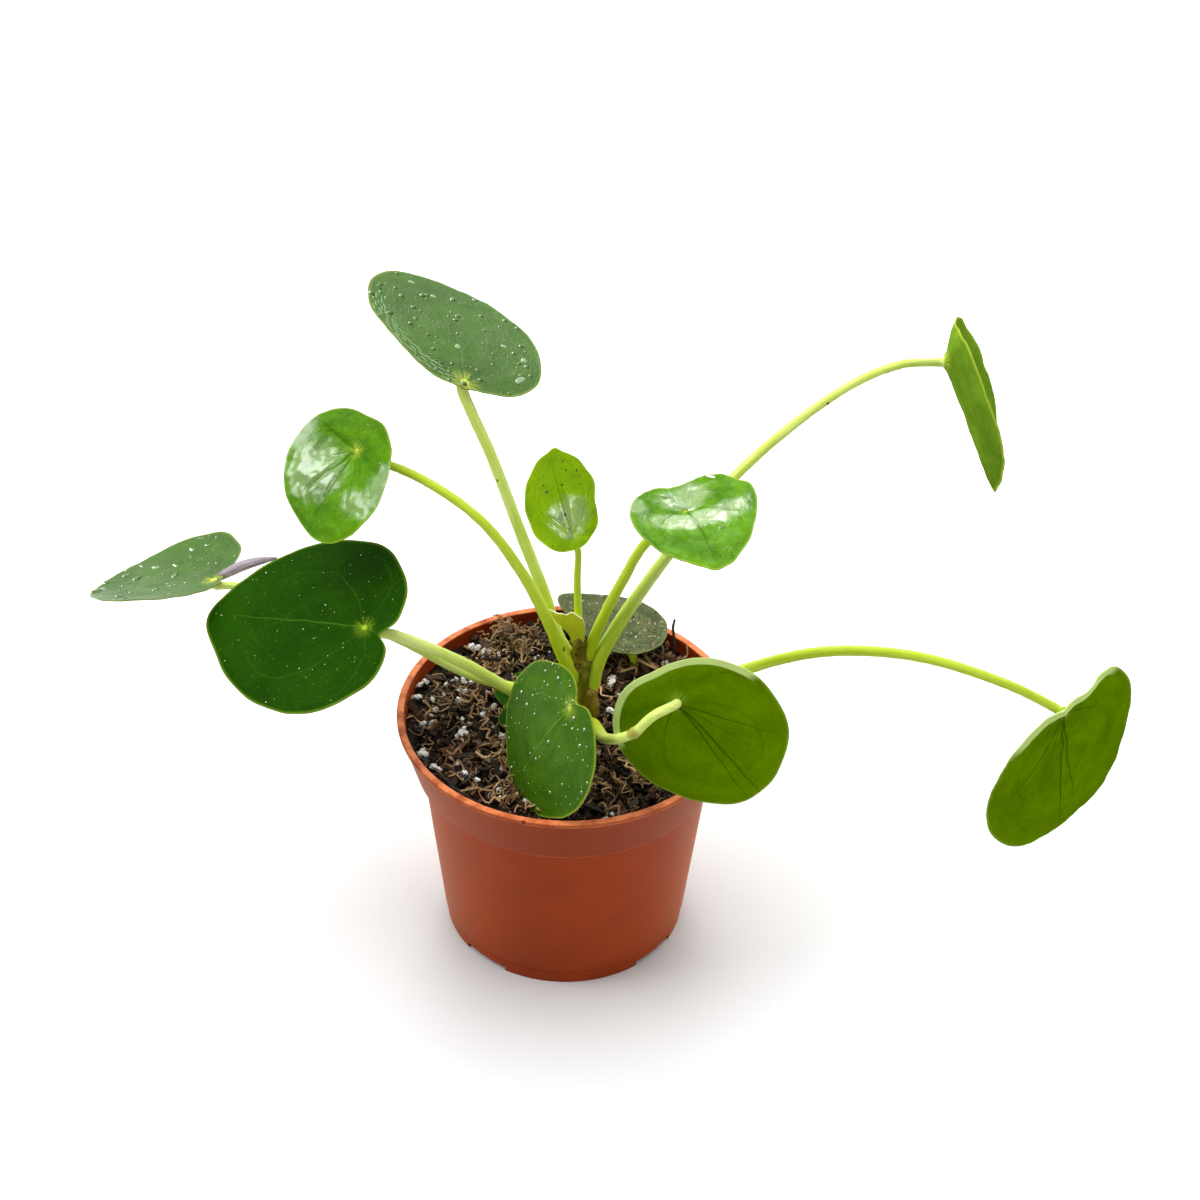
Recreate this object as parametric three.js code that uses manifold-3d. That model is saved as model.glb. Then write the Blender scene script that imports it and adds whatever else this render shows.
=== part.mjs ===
// A potted pilea: round leaves on long stalks round a short trunk, in a plastic nursery pot full of
// bark soil. Millimetres, +Z up. The origin is the middle of the pot's foot, on the surface that it
// stands on, and the plant's front is -Y.
import * as THREE from 'three';
import { mergeVertices } from 'three/addons/utils/BufferGeometryUtils.js';
import Module from 'manifold-3d';

const wasm = await Module();
wasm.setup();

// Pot
const POT_HEIGHT = 91.6;
const RIM_RADIUS = 60;
const RIM_WIDTH = 2.6;
const RIM_DEPTH = 1.6;
const RIM_ROUND = 0.5;
const COLLAR_HEIGHT = 20.6;
const COLLAR_RADIUS = 54;
const BODY_TOP_RADIUS = 51.5;
const FOOT_RADIUS = 43.5;
const FOOT_LINE_HEIGHT = 5.9;
const FOOT_LINE_STEP = 0.3;
const WALL = 1.3;
const FLOOR_GAP = 2.4;
const PAD_RADIUS = 10;
const NOTCH_COUNT = 4;
const NOTCH_FIRST = -40;
const NOTCH_ANGLE = 24;
const DRAIN_COUNT = 6;
const DRAIN_RADIUS = 3.2;
const DRAIN_CIRCLE = 25;
const POT_SIDES = 48;

// Soil and what lies in it
const SOIL_LEVEL = 86;
const GAP = 0.3;
const SOIL_SIDES = 40;
const BARK_COUNT = 18;
const PERLITE_COUNT = 12;
const FIBRE_COUNT = 4;

// Plant
const BLADE_THICKNESS = 0.9;
const BLADE_SIDES = 30;
const BLADE_RINGS = [0.35, 0.7, 1];
const NOTCH_SPREAD = 0.3;
const STALK_SIDES = 8;
const TRUNK_SIDES = 10;

const COLOURS = {
  pot: 0xb4552a,
  soil: 0x2c211a,
  trunk: 0x7c6c22,
  stalk: 0xa9c23c,
  paleStalk: 0xc4d87a,
  darkLeaf: 0x3a5c14,
  greyLeaf: 0x668a4d,
  glossLeaf: 0x6ea83a,
  youngLeaf: 0x8fb02a,
  oliveLeaf: 0x5a8008,
  dustyLeaf: 0x6a7142,
  dry: 0x8f8088,
};

const radians = THREE.MathUtils.degToRad;

// A repeatable source of random numbers between 0 and 1.
function seeded(seed) {
  let state = seed;
  return () => {
    state = (state * 1664525 + 1013904223) % 4294967296;
    return state / 4294967296;
  };
}

// Solids and meshes

function solidOf(geometry) {
  const loose = geometry.index ? geometry.toNonIndexed() : geometry;
  const bare = new THREE.BufferGeometry();
  bare.setAttribute('position', loose.getAttribute('position'));
  const merged = mergeVertices(bare, 1e-4);
  const corners = merged.index.array;
  const kept = [];
  for (let i = 0; i < corners.length; i += 3) {
    const [a, b, c] = corners.slice(i, i + 3);
    if (a !== b && b !== c && c !== a) kept.push(a, b, c);
  }
  const vertProperties = merged.attributes.position.array;
  const wrap = (list) =>
    new wasm.Manifold(new wasm.Mesh({ numProp: 3, vertProperties, triVerts: new Uint32Array(list) }));
  const solid = wrap(kept);
  return solid.volume() < 0 ? wrap(kept.reverse()) : solid;
}

const placed = (geometry, at) => solidOf(geometry.translate(at[0], at[1], at[2]));
const joined = (solids) => solids.reduce((whole, part) => whole.add(part));
const cutBy = (solid, cutters) => cutters.reduce((left, cutter) => left.subtract(cutter), solid);

// The biggest body of a cut solid, without the scraps that a cut can leave.
function biggest(solid) {
  return solid.decompose().reduce((best, body) => (body.volume() > best.volume() ? body : best));
}

function meshOf(name, solid, colour, roughness) {
  const { vertProperties, triVerts } = solid.getMesh();
  const geometry = new THREE.BufferGeometry();
  geometry.setAttribute('position', new THREE.BufferAttribute(new Float32Array(vertProperties), 3));
  geometry.setIndex(new THREE.BufferAttribute(new Uint32Array(triVerts), 1));
  geometry.computeVertexNormals();
  const material = new THREE.MeshStandardMaterial({ color: colour, roughness, metalness: 0 });
  const mesh = new THREE.Mesh(geometry, material);
  mesh.name = name;
  return mesh;
}

// Turned profile about the Z axis, from [radius, height] pairs.
function turned(profile, sides) {
  const points = profile.map(([radius, height]) => new THREE.Vector2(radius, height));
  return new THREE.LatheGeometry(points, sides).rotateX(Math.PI / 2);
}

// Round tube along a smooth curve through the points, whose radius follows a rule of the way along.
// "extra" makes it that much bigger all round, ends too.
function tube(points, radiusAt, sides, stepLength, extra = 0) {
  const curve = new THREE.CatmullRomCurve3(points.map((p) => new THREE.Vector3(...p)));
  const steps = Math.max(3, Math.round(curve.getLength() / stepLength));
  const circle = new THREE.Shape();
  for (let i = 0; i < sides; i += 1) {
    const angle = (2 * Math.PI * i) / sides;
    if (i === 0) circle.moveTo(1, 0);
    else circle.lineTo(Math.cos(angle), Math.sin(angle));
  }
  const options = { steps, extrudePath: curve, bevelEnabled: false };
  const geometry = new THREE.ExtrudeGeometry(circle, options);
  const middles = curve.getSpacedPoints(steps);
  const pushes = middles.map(() => new THREE.Vector3());
  pushes[0].addScaledVector(curve.getTangentAt(0), -extra);
  pushes[steps].addScaledVector(curve.getTangentAt(1), extra);
  const corner = new THREE.Vector3();
  const position = geometry.getAttribute('position');
  for (let i = 0; i < position.count; i += 1) {
    corner.fromBufferAttribute(position, i);
    const distances = middles.map((middle) => middle.distanceTo(corner));
    const nearest = distances.indexOf(Math.min(...distances));
    const radius = radiusAt(nearest / steps) + extra;
    corner.sub(middles[nearest]).setLength(radius).add(middles[nearest]).add(pushes[nearest]);
    position.setXYZ(i, corner.x, corner.y, corner.z);
  }
  return solidOf(geometry);
}

// Pot: a tapered body, a flared collar, a thick rim and a raised floor on a notched foot ring

const collarBottom = POT_HEIGHT - COLLAR_HEIGHT;
const rimBottom = POT_HEIGHT - RIM_DEPTH;
const rimInside = RIM_RADIUS - RIM_WIDTH;
const floorTop = FLOOR_GAP + WALL;
const collarTopRadius = RIM_RADIUS - 0.6;
const footLineRadius = FOOT_RADIUS + 0.6;
const bodyFloorRadius = FOOT_RADIUS - WALL + 0.3;
const rimInsideBottom = rimBottom - 2;

// The inner wall from the floor up, as [radius, height] pairs.
const innerWall = [
  [bodyFloorRadius, floorTop],
  [BODY_TOP_RADIUS - WALL, collarBottom],
  [COLLAR_RADIUS - WALL, collarBottom + WALL],
  [rimInside, rimInsideBottom],
];

function pot() {
  const body = turned([
    [0, 0],
    [PAD_RADIUS, 0],
    [PAD_RADIUS + 0.5, FLOOR_GAP],
    [FOOT_RADIUS - WALL, FLOOR_GAP],
    [FOOT_RADIUS - WALL, 0],
    [FOOT_RADIUS, 0],
    [footLineRadius, FOOT_LINE_HEIGHT],
    [footLineRadius + FOOT_LINE_STEP, FOOT_LINE_HEIGHT + FOOT_LINE_STEP],
    [BODY_TOP_RADIUS, collarBottom],
    [COLLAR_RADIUS, collarBottom],
    [collarTopRadius, rimBottom],
    [RIM_RADIUS, rimBottom],
    [RIM_RADIUS, POT_HEIGHT - RIM_ROUND],
    [RIM_RADIUS - RIM_ROUND, POT_HEIGHT],
    [rimInside, POT_HEIGHT],
    ...innerWall.toReversed(),
    [0, floorTop],
  ], POT_SIDES);
  const notchWidth = 2 * FOOT_RADIUS * Math.sin(radians(NOTCH_ANGLE / 2));
  const cutters = [];
  for (let i = 0; i < NOTCH_COUNT; i += 1) {
    const notch = new THREE.BoxGeometry(notchWidth, 8, 2 * (FLOOR_GAP - 0.2));
    notch.translate(0, -FOOT_RADIUS, 0).rotateZ(radians(NOTCH_FIRST + (i * 360) / NOTCH_COUNT));
    cutters.push(solidOf(notch));
  }
  for (let i = 0; i < DRAIN_COUNT; i += 1) {
    const drain = new THREE.CylinderGeometry(DRAIN_RADIUS, DRAIN_RADIUS, 4 * WALL, 12);
    drain.rotateX(Math.PI / 2).translate(DRAIN_CIRCLE, 0, FLOOR_GAP + WALL / 2);
    cutters.push(solidOf(drain.rotateZ((i * 2 * Math.PI) / DRAIN_COUNT)));
  }
  return cutBy(solidOf(body), cutters);
}

// Leaves. A blade grows from the end of its stalk at "at". It faces the azimuth and height angle in
// "faces", and "turn" swings its tip round from the steepest way down. Then come its length and
// width, how far the stalk sits in from the notched edge, and its form: "tip" and "notch" draw the
// outline out and in, "bulges" swell or pinch it as [angle, share, spread] and "skew" slants it.
// "droop" and "arch" bend the blade down along and across, "dish" sinks the stalk's end, "funnel"
// lifts the edge all round and "twist" winds it. "thick" is the stalk's radius at its root and end.

const LEAVES = {
  high_left: {
    at: [-36.5, 30, 208.7], faces: [0, 66], turn: 102, length: 63.5, width: 63, inset: 4.6,
    tip: 0.02, notch: 0.05, skew: 0.14, droop: 1.1, arch: -1.3, dish: 1, funnel: -1, twist: 0.2,
    bulges: [[121, -0.055, 22], [288, 0.02, 40]],
    stalk: [[4, 3.5, 108], [-2.9, 6.1, 118.2], [-9.5, 10.9, 137.6], [-17.8, 16.9, 158.6],
      [-27, 23.4, 182.7], [-36.2, 29.8, 206.8]],
    thick: [2.3, 1.9], colour: 'greyLeaf', pale: true,
  },
  mid_left: {
    at: [-72.7, 22, 184.7], faces: [-130, 46.5], turn: 0, length: 46.7, width: 43, inset: 14,
    tip: 0.02, notch: 0.06, skew: 0.11, droop: 4, arch: -2.2, dish: 3.8, funnel: 0, twist: 0,
    bulges: [[337, -0.07, 25]],
    stalk: [[5, 2.4, 102], [0, 0.3, 111.8], [-7.4, 2.5, 130.2], [-16.2, 5.1, 147.9],
      [-30.5, 9.4, 166.7], [-50.6, 15.4, 178.9], [-72.5, 21.9, 184.5]],
    thick: [2.7, 1.5], colour: 'glossLeaf', pale: false,
  },
  front_left: {
    at: [-68, -20, 142.5], faces: [-142, 63], turn: -59, length: 73, width: 70, inset: 15.5,
    tip: 0.08, notch: 0.12, skew: -0.03, droop: 0, arch: 1.9, dish: 1, funnel: -0.7, twist: 0.5,
    bulges: [[4, 0.09, 14], [60, -0.03, 35], [177, -0.12, 6], [250, 0.05, 22]],
    stalk: [[6.5, 2, 91], [-8, -2, 96], [-19.5, -5.8, 105], [-36.4, -11, 121.2],
      [-58.4, -18, 137.9], [-67.5, -20, 142]],
    thick: [2.4, 1.9], colour: 'darkLeaf', pale: true,
  },
  front: {
    at: [1.4, -39.6, 126], faces: [-151, 21], turn: -18, length: 51.5, width: 56, inset: 9,
    tip: 0.03, notch: 0.09, skew: 0, droop: 2.2, arch: 3, dish: 0.2, funnel: 0, twist: 0,
    bulges: [[15, 0.09, 18], [178, -0.12, 7], [225, -0.05, 22], [290, 0.06, 22]],
    stalk: [[6, 1, 90], [4, -12, 97], [2.5, -28, 112], [1.4, -39.6, 125]],
    thick: [1.9, 1.5], colour: 'darkLeaf', pale: false,
  },
  front_right: {
    at: [37, -43, 133], faces: [83, -11], turn: -37, length: 57.5, width: 56, inset: 15.5,
    tip: 0.02, notch: 0.08, skew: -0.06, droop: 1.4, arch: -1.2, dish: 1, funnel: 0, twist: 1.5,
    bulges: [[14, 0.04, 15], [205, -0.04, 20], [297, 0.03, 15]],
    stalk: [[8, 0, 86.5], [11, -14, 94.2], [12.4, -28, 103.8], [14.4, -40, 113],
      [18.4, -48.5, 120.8], [23, -50, 124.6], [29, -48.9, 131], [36.8, -43.4, 133.2]],
    thick: [2.8, 1.9], colour: 'oliveLeaf', pale: true,
  },
  far_right: {
    at: [175, 0, 95], faces: [-54, 1], turn: 17, length: 68.5, width: 71.5, inset: 4.5,
    tip: -0.07, notch: 0.07, skew: -0.18, droop: -0.5, arch: 2.5, dish: -0.2, funnel: -1.9, twist: -0.4,
    bulges: [[42, 0.03, 18], [160, -0.13, 14]],
    stalk: [[28, -2, 77], [29, -2, 86], [40, -2, 101], [60.9, -1.6, 112.9], [87.8, -1.2, 121.5],
      [119.7, -0.8, 120.3], [152.9, -0.3, 108.4], [174.2, 0, 95.6]],
    thick: [2.3, 1.7], colour: 'oliveLeaf', pale: false,
  },
  high_right: {
    at: [128.4, 60, 202], faces: [-1, 9], turn: -7, length: 65.5, width: 57, inset: 15,
    tip: 0.01, notch: 0.05, skew: 0.06, droop: -0.6, arch: -5.1, dish: 0.4, funnel: 7.9, twist: 2.3,
    bulges: [[-7, -0.03, 25]],
    stalk: [[7.8, 1.8, 97], [11.5, 3.2, 114.3], [33.6, 14, 150.3], [60.9, 27.4, 181.1],
      [92.6, 42.8, 201.5], [111.3, 52, 205.4], [127.4, 59.8, 202.2]],
    thick: [2.8, 1.5], colour: 'youngLeaf', pale: true,
  },
  mid_right: {
    at: [38.5, 10, 172.5], faces: [158, 84], turn: -233, length: 55, width: 42.5, inset: 15.5,
    tip: 0, notch: 0.15, skew: -0.09, droop: 3.4, arch: -4.6, dish: 3.8, funnel: 2.1, twist: -1.6,
    bulges: [[12, 0.1, 20]],
    stalk: [[6, 2.5, 103], [6.6, 2.6, 112.3], [11.2, 3.7, 128.5], [18.4, 5.4, 145.7],
      [25.8, 7.1, 160.4], [38, 9.9, 172.5]],
    thick: [2.2, 1.7], colour: 'glossLeaf', pale: false,
  },
  crown: {
    at: [0.9, 5, 164.6], faces: [-66, 28], turn: 188, length: 33.7, width: 27, inset: 5.2,
    tip: 0.03, notch: 0.02, skew: -0.05, droop: -2.6, arch: -1, dish: 1, funnel: 0, twist: -1.1,
    bulges: [[259, -0.14, 20]],
    stalk: [[3.6, 3, 117], [3.2, 4, 132.4], [2.7, 5, 145.5], [2.6, 5, 159], [1.2, 5.1, 164.6]],
    thick: [1.7, 1.1], colour: 'youngLeaf', pale: false,
  },
  back_low: {
    at: [20.2, 33, 96.8], faces: [44, 81], turn: -299, length: 41, width: 35, inset: 8.5,
    tip: -0.05, notch: 0.03, skew: 0.09, droop: 1.7, arch: -4.2, dish: 0.8, funnel: 0, twist: 1.7,
    bulges: [[58, 0.11, 25]],
    stalk: [[24.5, 29.5, 77], [24.3, 29.8, 86], [22.8, 31, 92], [20.9, 32.8, 96.4]],
    thick: [1.6, 1.3], colour: 'dustyLeaf', pale: false,
  },
  far_left: {
    at: [-124.4, 18, 131.8], faces: [128, 70.5], turn: 37, length: 47, width: 61.5, inset: 6.5,
    tip: 0, notch: 0.18, skew: 0.22, droop: 0.2, arch: -3.8, dish: 0, funnel: 2, twist: 1.5,
    stalk: [[6, 2.8, 94], [-8, 3.4, 95.5], [-20, 3.8, 98.5], [-34.4, 4.5, 102.8], [-58.9, 8, 115],
      [-76.4, 10.5, 121.4], [-94, 14, 125.2], [-108.2, 17, 127.6], [-118, 18.5, 129.2],
      [-123.5, 18, 130.9]],
    thick: [2, 1.4], colour: 'greyLeaf', pale: true,
  },
  low_left: {
    at: [-21, 4.5, 89], faces: [-170, 88], turn: 178, length: 28, width: 37, inset: 6,
    tip: 0.02, notch: 0.33, skew: 0, droop: 1.5, arch: 1, dish: 0.5, funnel: 0, twist: 0,
    stalk: [[-16, 6, 77], [-17, 5.6, 83], [-19.5, 4.8, 87], [-20.9, 4.5, 89.2]],
    thick: [1.4, 1.2], colour: 'dustyLeaf', pale: false,
  },
  bud: {
    at: [0.9, -1.4, 126], faces: [90, 14], turn: 188, length: 12, width: 12, inset: 1.8,
    tip: -0.1, notch: 0, skew: 0, droop: 0, arch: -45, dish: 0, funnel: 0, twist: 0,
    stalk: [[3.4, 1.8, 115.5], [2.6, -0.2, 120], [1.1, -1.2, 125.4]],
    thick: [1.5, 1], colour: 'youngLeaf', pale: false,
  },
};

// Height of a blade above its own plane at a place along and across it.
function bladeHeight(leaf, along, across) {
  const middle = leaf.length / 2 - leaf.inset;
  const reach = Math.hypot(along, across);
  const dish = leaf.dish * (1 - Math.exp(-((reach / 10) ** 2)));
  const funnel = (leaf.funnel * reach) / 30;
  const droop = (leaf.droop * ((along - middle) ** 2 - middle ** 2)) / 900;
  const arch = (leaf.arch * across ** 2) / 900;
  return dish + funnel - droop - arch + (leaf.twist * along * across) / 900;
}

// A smooth hump round an angle, 1 at its middle, the short way round.
function hump(angle, middle, spread) {
  const away = Math.abs(((angle - middle + 3 * Math.PI) % (2 * Math.PI)) - Math.PI);
  return Math.exp(-((away / spread) ** 2));
}

// The blade's edge, as [along, across] pairs from the stalk's end, a margin further out.
function bladeEdge(leaf, margin) {
  const middle = leaf.length / 2 - leaf.inset;
  const edge = [];
  const bulges = leaf.bulges ?? [];
  for (let i = 0; i < BLADE_SIDES; i += 1) {
    const angle = (2 * Math.PI * i) / BLADE_SIDES;
    const drawnOut = leaf.tip * Math.max(0, Math.cos(angle)) ** 8;
    const drawnIn = leaf.notch * hump(angle, Math.PI, NOTCH_SPREAD);
    const swell = bulges.reduce(
      (sum, [at, share, spread]) => sum + share * hump(angle, radians(at), radians(spread)),
      1 + drawnOut - drawnIn);
    const along = middle + (leaf.length / 2 + margin) * Math.cos(angle) * swell;
    const across = (leaf.width / 2 + margin) * Math.sin(angle) * swell + leaf.skew * (along - middle);
    edge.push([along, across]);
  }
  return edge;
}

// Moves a blade from its own plane to its place on the plant.
function bladePlace(leaf) {
  const [azimuth, lift] = leaf.faces.map(radians);
  const facing = new THREE.Vector3(
    Math.cos(lift) * Math.cos(azimuth), Math.cos(lift) * Math.sin(azimuth), Math.sin(lift));
  const downhill = new THREE.Vector3(
    Math.sin(lift) * Math.cos(azimuth), Math.sin(lift) * Math.sin(azimuth), -Math.cos(lift));
  const along = downhill.applyAxisAngle(facing, radians(leaf.turn));
  const across = new THREE.Vector3().crossVectors(facing, along);
  return new THREE.Matrix4().makeBasis(along, across, facing).setPosition(...leaf.at);
}

// A blade between two heights above its top face, split into triangles alike on both faces.
function blade(leaf, top = 0, bottom = -BLADE_THICKNESS, margin = 0) {
  const edge = bladeEdge(leaf, margin);
  const places = [[0, 0]];
  BLADE_RINGS.forEach((ring) => edge.forEach(([u, v]) => places.push([u * ring, v * ring])));
  const faces = [];
  const last = places.length - BLADE_SIDES;
  for (let i = 0; i < BLADE_SIDES; i += 1) {
    const next = (i + 1) % BLADE_SIDES;
    faces.push([0, 1 + i, 1 + next]);
    for (let ring = 1; ring < last; ring += BLADE_SIDES) {
      const outer = ring + BLADE_SIDES;
      faces.push([ring + i, outer + i, outer + next], [ring + i, outer + next, ring + next]);
    }
  }
  const under = places.length;
  const corners = [];
  faces.forEach(([a, b, c]) => corners.push(a, b, c, under + a, under + c, under + b));
  for (let i = 0; i < BLADE_SIDES; i += 1) {
    const a = last + i;
    const b = last + ((i + 1) % BLADE_SIDES);
    corners.push(a, under + a, under + b, a, under + b, b);
  }
  const heights = [top, bottom];
  const points = heights.flatMap((offset) =>
    places.flatMap(([u, v]) => [u, v, bladeHeight(leaf, u, v) + offset]));
  const geometry = new THREE.BufferGeometry();
  geometry.setAttribute('position', new THREE.Float32BufferAttribute(points, 3));
  geometry.setIndex(corners);
  return solidOf(geometry.applyMatrix4(bladePlace(leaf)));
}

// The room that a blade needs, with a gap below it and at its edge, and a headroom above it.
const bladeRoom = (leaf, headroom) => blade(leaf, headroom, -BLADE_THICKNESS - GAP, GAP);

// A stalk thins from its root to its blade.
function stalk(leaf, extra = 0) {
  const [root, end] = leaf.thick;
  const radiusAt = (way) => end + (root - end) * (1 - way) ** 2;
  return tube(leaf.stalk, radiusAt, STALK_SIDES, 9, extra);
}

// Trunk: short and knobbly, ringed where old leaves fell

const TRUNK_LINE = [[8.2, 2, 76], [8.1, 2, 84.6], [7.3, 2, 94.7], [5.4, 2.5, 103.4], [4.2, 3, 114],
  [3.4, 3, 120.5]];
const TRUNK_RADIUS = 3.5;
const TRUNK_SCARS = [[9.5, -0.6, 93, 2], [5, -0.2, 101.5, 1.5], [3.8, 0, 110.5, 1.2], [10.6, 3, 99, 1.6]];

function trunk(extra = 0) {
  const radiusAt = (way) => TRUNK_RADIUS - 0.6 * way + 0.3 * Math.sin(way * 8 * Math.PI) ** 2;
  const stem = tube(TRUNK_LINE, radiusAt, TRUNK_SIDES, 4, extra);
  const scars = TRUNK_SCARS.map(([x, y, z, radius]) =>
    placed(new THREE.IcosahedronGeometry(radius + extra, 1), [x, y, z]));
  return joined([stem, ...scars]);
}

// Soil: a filled body with bark chips, white grains and root fibres sunk into its rough top

const soilEdge = THREE.MathUtils.mapLinear(
  SOIL_LEVEL, collarBottom + WALL, rimInsideBottom, COLLAR_RADIUS - WALL, rimInside);

function soilRelief(x, y) {
  const broad = 0.9 * Math.sin(0.13 * x + 0.6) * Math.cos(0.11 * y - 0.4);
  const fine = 0.6 * Math.sin(0.43 * x + 0.31 * y) * Math.cos(0.37 * y - 0.29 * x + 1);
  return broad + fine + 0.03 * (y - 10);
}

function soilBody() {
  const inset = GAP + 0.1;
  const wall = innerWall.slice(0, 3).map(([radius, height]) => [radius - inset, height + inset]);
  const top = [1, 0.86, 0.7, 0.54, 0.38, 0.2].map((part) => [(soilEdge - inset) * part, SOIL_LEVEL]);
  const geometry = turned([[0, floorTop + inset], ...wall, ...top, [0, SOIL_LEVEL]], SOIL_SIDES);
  const position = geometry.getAttribute('position');
  for (let i = 0; i < position.count; i += 1) {
    const [x, y, z] = [position.getX(i), position.getY(i), position.getZ(i)];
    const rough = z > SOIL_LEVEL - 0.1 && Math.hypot(x, y) < 0.9 * soilEdge;
    if (rough) position.setZ(i, z + soilRelief(x, y));
  }
  return solidOf(geometry);
}

// A random place on the soil, within a share of its radius.
function soilPlace(random, share) {
  const reach = Math.sqrt(random()) * share * soilEdge;
  const angle = 2 * Math.PI * random();
  const [x, y] = [reach * Math.cos(angle), reach * Math.sin(angle)];
  return [x, y, SOIL_LEVEL + soilRelief(x, y)];
}

function barkChip(random) {
  const chip = new THREE.BoxGeometry(5 + 6 * random(), 2 + 2 * random(), 2 + 1.4 * random());
  chip.rotateX(0.5 * random()).rotateY(0.5 * (random() - 0.5)).rotateZ(2 * Math.PI * random());
  return placed(chip, soilPlace(random, 0.78));
}

function perliteGrain(random) {
  const grain = new THREE.IcosahedronGeometry(1 + 0.7 * random(), 0);
  grain.rotateX(3 * random()).scale(1.2, 1, 0.9);
  const [x, y, z] = soilPlace(random, 0.86);
  return placed(grain, [x, y, z + 0.5]);
}

function rootFibre(random) {
  const [x, y, z] = soilPlace(random, 0.6);
  const angle = 2 * Math.PI * random();
  const run = 6 + 4 * random();
  const [dx, dy] = [run * Math.cos(angle), run * Math.sin(angle)];
  const points = [[x - dx, y - dy, z - 2.5], [x, y, z + 1.6], [x + dx, y + dy, z - 2.5]];
  return tube(points, () => 0.7, 5, 4);
}

const BARK_BACK = { size: [14, 6, 4], at: [-22, 41.5, 88.5], tilt: 0.35, turn: 2.7 };
const BARK_RIGHT = { size: [7, 4, 6], at: [36, 31, 89.5], tilt: 0.5, turn: 2.4 };
const TWIG = { line: [[37.5, 38.6, 84], [37.9, 38.8, 94], [37.7, 38.9, 102.5]], radius: 0.7 };

function bigBark({ size, at, tilt, turn }) {
  return placed(new THREE.BoxGeometry(...size).rotateY(tilt).rotateZ(turn), at);
}

function soil(standing) {
  const random = seeded(11);
  const pieces = [soilBody(), bigBark(BARK_BACK), bigBark(BARK_RIGHT)];
  pieces.push(tube(TWIG.line, () => TWIG.radius, 5, 5));
  for (let i = 0; i < BARK_COUNT; i += 1) pieces.push(barkChip(random));
  for (let i = 0; i < PERLITE_COUNT; i += 1) pieces.push(perliteGrain(random));
  for (let i = 0; i < FIBRE_COUNT; i += 1) pieces.push(rootFibre(random));
  return biggest(cutBy(joined(pieces), standing));
}

// Dry papery bract that clings to the stalk behind the far left blade

const BRACT_LINE = [[-121.8, 21.2, 131.5], [-115.4, 23, 134.4], [-109.2, 24, 136.1], [-102.6, 25, 136.8]];

function bract() {
  const radiusAt = (way) => 0.5 + 1.2 * Math.sin(Math.PI * Math.min(1, 0.15 + 0.85 * way));
  return tube(BRACT_LINE, radiusAt, 6, 3);
}

// Assembly: each later piece is cut clear of the ones it grows from

const plant = new THREE.Group();
const names = Object.keys(LEAVES);
const blades = Object.fromEntries(names.map((name) => [name, blade(LEAVES[name])]));
const stalks = {};
const clearTrunk = trunk(GAP);
const clearStalks = [];

names.forEach((name) => {
  const leaf = LEAVES[name];
  stalks[name] = biggest(cutBy(stalk(leaf), [bladeRoom(leaf, 4), clearTrunk, ...clearStalks]));
  clearStalks.push(stalk(leaf, GAP));
});

const lowBlades = ['front', 'low_left'].map((name) => bladeRoom(LEAVES[name], 6));
const inSoil = [clearTrunk, ...clearStalks, ...lowBlades];
plant.add(meshOf('pot', pot(), COLOURS.pot, 0.5));
plant.add(meshOf('soil', soil(inSoil), COLOURS.soil, 0.95));
plant.add(meshOf('trunk', trunk(), COLOURS.trunk, 0.6));
names.forEach((name) => {
  const leaf = LEAVES[name];
  const stalkColour = leaf.pale ? COLOURS.paleStalk : COLOURS.stalk;
  plant.add(meshOf(`stalk_${name}`, stalks[name], stalkColour, 0.45));
  plant.add(meshOf(`blade_${name}`, blades[name], COLOURS[leaf.colour], 0.4));
});
const besideBlade = [...clearStalks, bladeRoom(LEAVES.far_left, GAP)];
plant.add(meshOf('bract', biggest(cutBy(bract(), besideBlade)), COLOURS.dry, 0.8));

export default plant;
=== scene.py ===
"""A potted pilea: round leaves on long stalks round a short trunk, in a plastic nursery pot of bark soil.

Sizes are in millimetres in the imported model's frame: +Z up, the plant's front is -Y, and the origin is
the middle of the pot's foot. MM turns them into Blender's metres.
"""

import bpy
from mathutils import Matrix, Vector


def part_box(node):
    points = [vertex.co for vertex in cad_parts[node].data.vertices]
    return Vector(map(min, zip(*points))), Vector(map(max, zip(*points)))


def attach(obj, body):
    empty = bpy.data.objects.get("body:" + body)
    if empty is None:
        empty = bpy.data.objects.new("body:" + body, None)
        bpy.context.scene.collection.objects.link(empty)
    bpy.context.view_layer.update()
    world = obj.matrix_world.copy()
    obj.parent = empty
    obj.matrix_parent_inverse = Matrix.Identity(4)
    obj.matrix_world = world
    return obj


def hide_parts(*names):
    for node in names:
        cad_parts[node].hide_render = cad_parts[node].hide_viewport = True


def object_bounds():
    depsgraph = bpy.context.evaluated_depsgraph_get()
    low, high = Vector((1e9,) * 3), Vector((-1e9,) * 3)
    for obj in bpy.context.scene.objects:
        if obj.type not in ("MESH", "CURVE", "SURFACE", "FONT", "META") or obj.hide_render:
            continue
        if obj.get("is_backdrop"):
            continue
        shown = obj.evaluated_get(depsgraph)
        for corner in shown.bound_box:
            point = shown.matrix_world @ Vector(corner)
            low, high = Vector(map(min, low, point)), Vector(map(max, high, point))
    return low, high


bl_info = {
    "name": "Potted Pilea",
    "version": (1, 0, 0),
    "blender": (4, 5, 0),
    "location": "View3D > Sidebar > Pilea",
    "description": "Builds a potted pilea with its stalks, leaves, soil, pot and water drops",
    "category": "Add Mesh",
}

import math
import random

import bpy
from bpy.props import FloatProperty, FloatVectorProperty, IntProperty, PointerProperty
from mathutils import Matrix, Vector, noise

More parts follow.
